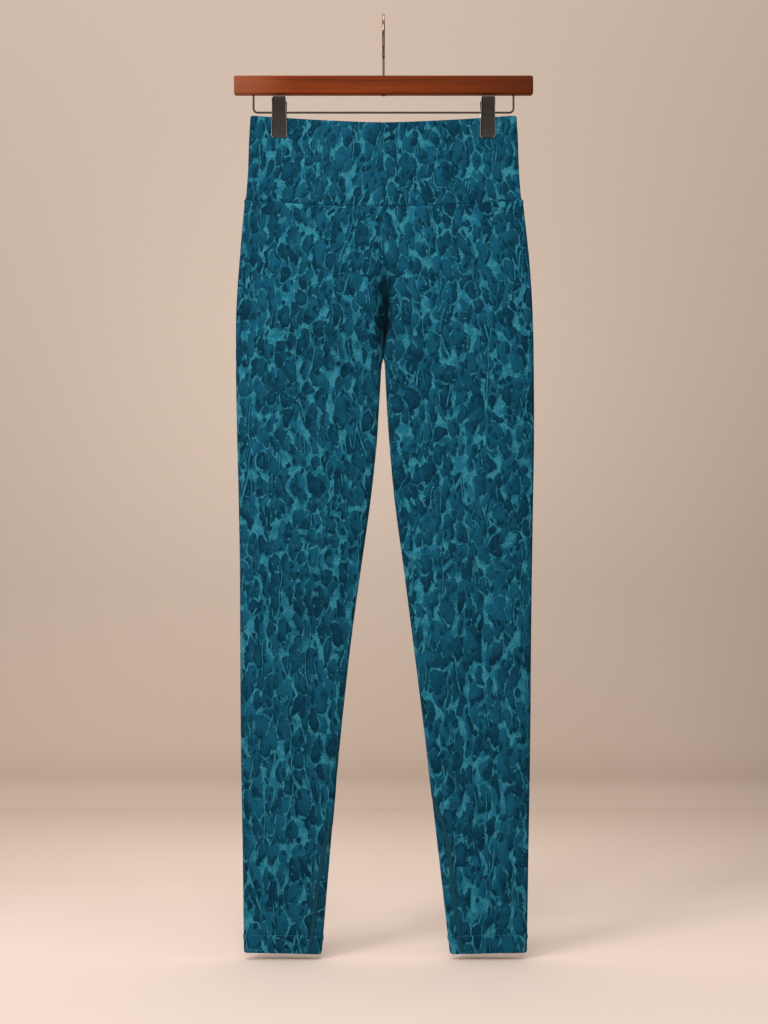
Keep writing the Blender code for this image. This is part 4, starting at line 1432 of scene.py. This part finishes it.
# %% Finish the cloth
LOOP = 0.0011
FUZZ_SIZE = 0.0013
KNIT_ROUGHNESS = 0.82
NAP_CONTRAST = (1.0, 1.9)
# Painted shade: how dark the ink is painted at the bottom of a crease.
CREASE_SHADE_DARKEST = 0.30
KNEE = 0.70
DRAWN_OUT = -0.16


def draw_knit():
    """The group: a place on the cloth gives the height of its loops, and the shade of its nap.

    The nap is 1 on average, and strays from it by contrast times a fine noise.
    """
    takes, gives = {"Cloth": "Vector", "Contrast": "Float"}, {"Height": "Float", "Nap": "Float"}
    group, net, given, result = shader_group("knit_loops", takes, gives)
    wale = given["Cloth"] * (2 * math.pi / LOOP)
    across = net.reckon("ABSOLUTE", net.reckon("SINE", wale.axis("X")))
    loops = net.reckon("SINE", across * 1.4 + wale.axis("Y")) * 0.5 + across
    fuzz = net.noise(given["Cloth"], FUZZ_SIZE)[0]
    nap = (fuzz - 0.5) * given["Contrast"] + 1.0
    net.fill(result, Height=loops * 0.35 + fuzz, Nap=nap)
    return group


def knit_finish(name, shift, drawn_from=None):
    """Printed knit whose pattern starts elsewhere on the roll, and is drawn out below a height.

    Its ink is darkened in the creases, which is painted shade.
    """
    soft = {"Sheen_Weight": 0.01, "Sheen_Roughness": 0.4, "Specular_IOR_Level": 0.03}
    made, net, shader = finish(name, Roughness=KNIT_ROUGHNESS, **soft)
    cloth = net.flat_place()
    if drawn_from:
        below = net.reckon("MAXIMUM", cloth.axis("Y") - drawn_from, 0.0)
        cloth += net.put("CombineXYZ", Y=below * DRAWN_OUT)["Vector"]
    cloth += shift
    ink = net.put("Group", {"node_tree": print_group}, Cloth=cloth)
    contrast = ink["Web"].ramp(0.0, 1.0, *NAP_CONTRAST)
    knit = net.put("Group", {"node_tree": knit_group}, Cloth=cloth, Contrast=contrast)
    # Painted shade: the ink darkens where the second UV map says the cloth lies in a crease.
    crease_darkening = net.flat_place("gather").axis("X").ramp(0.0, 1.0, 1.0, CREASE_SHADE_DARKEST, smooth=False)
    relief = net.put("Bump", Height=knit["Height"], Strength=0.35, Distance=0.15 * MM)["Normal"]
    net.fill(shader, Base_Color=ink["Color"] * (knit["Nap"] * crease_darkening), Normal=relief)
    return made


def thread_finish(name, colour, strand):
    """Twisted thread: a colour whose lightness changes over the length of a strand."""
    made, net, shader = finish(name, Roughness=0.8, Sheen_Weight=0.02, Specular_IOR_Level=0.08)
    twist = net.noise(net.own_place(), strand, space="3D")[0]
    net.fill(shader, Base_Color=twist.ramp(0.3, 0.7, 0.7, 1.35, smooth=False) * colour)
    return made


def paint(piece, material):
    """Gives a piece its one material."""
    piece.data.materials.clear()
    piece.data.materials.append(material)


knit_group = draw_knit()
paint(waistband, knit_finish("waistband_print", (0.913, 0.271, 0)))
paint(legs["left"], knit_finish("left_leg_print", (0.417, 0.0, 0), KNEE))
paint(legs["right"], knit_finish("right_leg_print", (1.733, 0.583, 0), KNEE))
for name, colour, strand, pieces in (
    ("inseam_thread", linear(19, 64, 78), 0.0012, inseams.values()),
    # Painted shade: the overlock's near-black thread darkens the slit of the crotch crease.
    ("overlock_painted_shade", linear(2, 9, 13), 0.0012, rises),
    ("hem_thread", linear(44, 104, 120), 0.0009, hem_threads.values()),
):
    thread = thread_finish(name, colour, strand)
    for piece in pieces:
        paint(piece, thread)
print("cloth finishes:", [m.name for m in bpy.data.materials if "print" in m.name])

# %% [markdown]
# ## Wood and metal
#
# The bar is a reddish hardwood under clear varnish: long streaks along its length, finer ones
# inside them, and a coat that carries the reflections. Its colour holds painted light: a painted
# highlight pales its left end, and painted shade darkens it towards the right. The hook is brass
# that has browned. The clips are dark plated steel, worn bright along their beads, where trousers
# rub them, with painted shade in the groove beside each bead.

# %% Finish the hanger
WOOD_DEEP = linear(104, 41, 9)
WOOD_WARM = linear(134, 57, 14)
WOOD_STREAK = linear(82, 30, 6)
# Painted light on the bar: a pale highlight towards the left end, and painted shade along it.
WOOD_PAINTED_HIGHLIGHT = linear(150, 90, 66)
WOOD_PAINTED_FALLOFF = (1.12, 0.48)
HIGHLIGHT_SHARE = 0.55
HIGHLIGHT_END = -100.0 * MM
GRAIN_SIZE = (0.16, 0.012, 0.009)
PORE_SIZE = (0.03, 0.0006, 0.0006)
PLATING = linear(64, 60, 55)
# Painted shade, a dark line in the groove beside each bead:
GROOVE_PAINTED_SHADE = linear(14, 12, 11)
BRIGHT_STEEL = linear(206, 198, 188)
WORN_BEAD = (0.55 * MM, 0.80 * MM)
# Where the painted shade of the groove lies, in from the plate's side:
GROOVE_SHADE_BAND = (1.25 * MM, 1.75 * MM)


def draw_wood():
    """The group: a place in the wood gives its colour and the height of its pores."""
    gives = {"Color": "Color", "Pores": "Float"}
    group, net, given, result = shader_group("bar_wood", {"Place": "Vector"}, gives)
    place = given["Place"]
    long_grain = place * tuple(1 / size for size in GRAIN_SIZE)
    bent = long_grain + (net.noise(long_grain, 1.0, space="3D")[1] - 0.5) * 0.9
    streak = net.noise(bent * (1, 3, 3), 1.0, 5.0, "3D")[0]
    band = net.noise(bent, 1.4, space="3D")[0]
    pores = net.noise(place * tuple(1 / size for size in PORE_SIZE), 1.0, space="3D")[0]
    colour = band.ramp(0.32, 0.66).mix(WOOD_DEEP, WOOD_WARM)
    colour = streak.ramp(0.54, 0.72, 0.0, 0.55).mix(colour, WOOD_STREAK)
    colour *= pores.ramp(0.25, 0.7, 1.12, 0.82, smooth=False)
    along, end = place.axis("X"), BAR_LENGTH / 2
    # Painted shade: the wood darkens towards its right end, as the key lamp from the left falls off.
    colour *= along.ramp(-end, end, *WOOD_PAINTED_FALLOFF, smooth=False)
    # Painted highlight: the left end is paled, a reflection put into the colour.
    colour = along.ramp(-end, HIGHLIGHT_END, HIGHLIGHT_SHARE, 0.0).mix(colour, WOOD_PAINTED_HIGHLIGHT)
    net.fill(result, Color=colour, Pores=pores)
    return group


def metal_finish(name, colour, roughness, wear=0.25, size=0.004):
    """Metal whose roughness and lightness change in soft patches."""
    made, net, shader = finish(name, Metallic=1.0)
    patch = net.noise(net.own_place(), size, 3.0, "3D")[0].ramp(0.3, 0.7, 1 - wear, 1 + wear)
    net.fill(shader, Base_Color=patch * colour, Roughness=patch * roughness)
    return made


def clip_finish(name):
    """Dark plating, worn bright along a plate's side, with painted shade in the groove beside it."""
    made, net, shader = finish(name, Metallic=1.0)
    from_side = net.flat_place().axis("X")
    worn = from_side.ramp(*WORN_BEAD, 1.0, 0.0)
    # Painted shade: a dark line in the groove beside the bead.
    groove = from_side.ramp(*GROOVE_SHADE_BAND, 0.9, 0.0)
    colour = worn.mix(groove.mix(PLATING, GROOVE_PAINTED_SHADE), BRIGHT_STEEL)
    patch = net.noise(net.own_place(), 0.003, 3.0, "3D")[0].ramp(0.3, 0.7, 0.94, 1.06)
    net.fill(shader, Base_Color=colour * patch, Roughness=worn.mix(0.58, 0.25, "FLOAT"))
    return made


def wood_finish(name):
    """Varnished wood: a matt base under a thin soft coat."""
    coat = {"Specular_IOR_Level": 0.04, "Coat_Weight": 0.02, "Coat_Roughness": 0.2}
    made, net, shader = finish(name, Roughness=0.5, **coat)
    grain = net.put("Group", {"node_tree": draw_wood()}, Place=net.own_place())
    relief = net.put("Bump", Height=grain["Pores"], Strength=0.15, Distance=0.2 * MM)["Normal"]
    net.fill(shader, Base_Color=grain["Color"], Normal=relief)
    return made


wood = wood_finish("varnished_wood")
paint(hook, metal_finish("browned_brass", linear(150, 120, 94), 0.22))
paint(stem, metal_finish("stem_steel", linear(92, 80, 73), 0.4, 0.08))
paint(clip_wire, metal_finish("wire_steel", linear(70, 60, 53), 0.38, 0.14))
spring_steel = metal_finish("spring_steel", linear(120, 112, 104), 0.3)
plating = clip_finish("clip_plating")
tab_steel = metal_finish("tab_steel", PLATING, 0.4)
for made in clips.values():
    for piece in made:
        last = spring_steel if "coil" in piece.name else tab_steel
        paint(piece, plating if "plate" in piece.name else last)
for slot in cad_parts["hanger_bar"].material_slots:
    slot.material = wood
print("materials:", len(bpy.data.materials))

# %% [markdown]
# ## Join the pieces to the frame
#
# Nothing here moves on its own, so every piece rides on the one body. Each says which node of the
# imported model it stands for, which is hidden, and a finish name.

for piece, node, slot in (
    (hook, "hanger_hook", "hook_metal"),
    (stem, "hanger_stem", "wire_steel"),
    (clip_wire, "hanger_wire", "wire_steel"),
    (waistband, "waistband", "knit"),
    (legs["left"], "leg_left", "knit"),
    (legs["right"], "leg_right", "knit"),
):
    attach(piece, "root")
    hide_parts(node)
for node, made in clips.items():
    for piece in made:
        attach(piece, "root")
    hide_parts(node)
for piece in (*inseams.values(), *rises, *hem_threads.values()):
    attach(piece, "root")

clip_plates = [made[0].name for node, made in clips.items() if "spring" not in node]
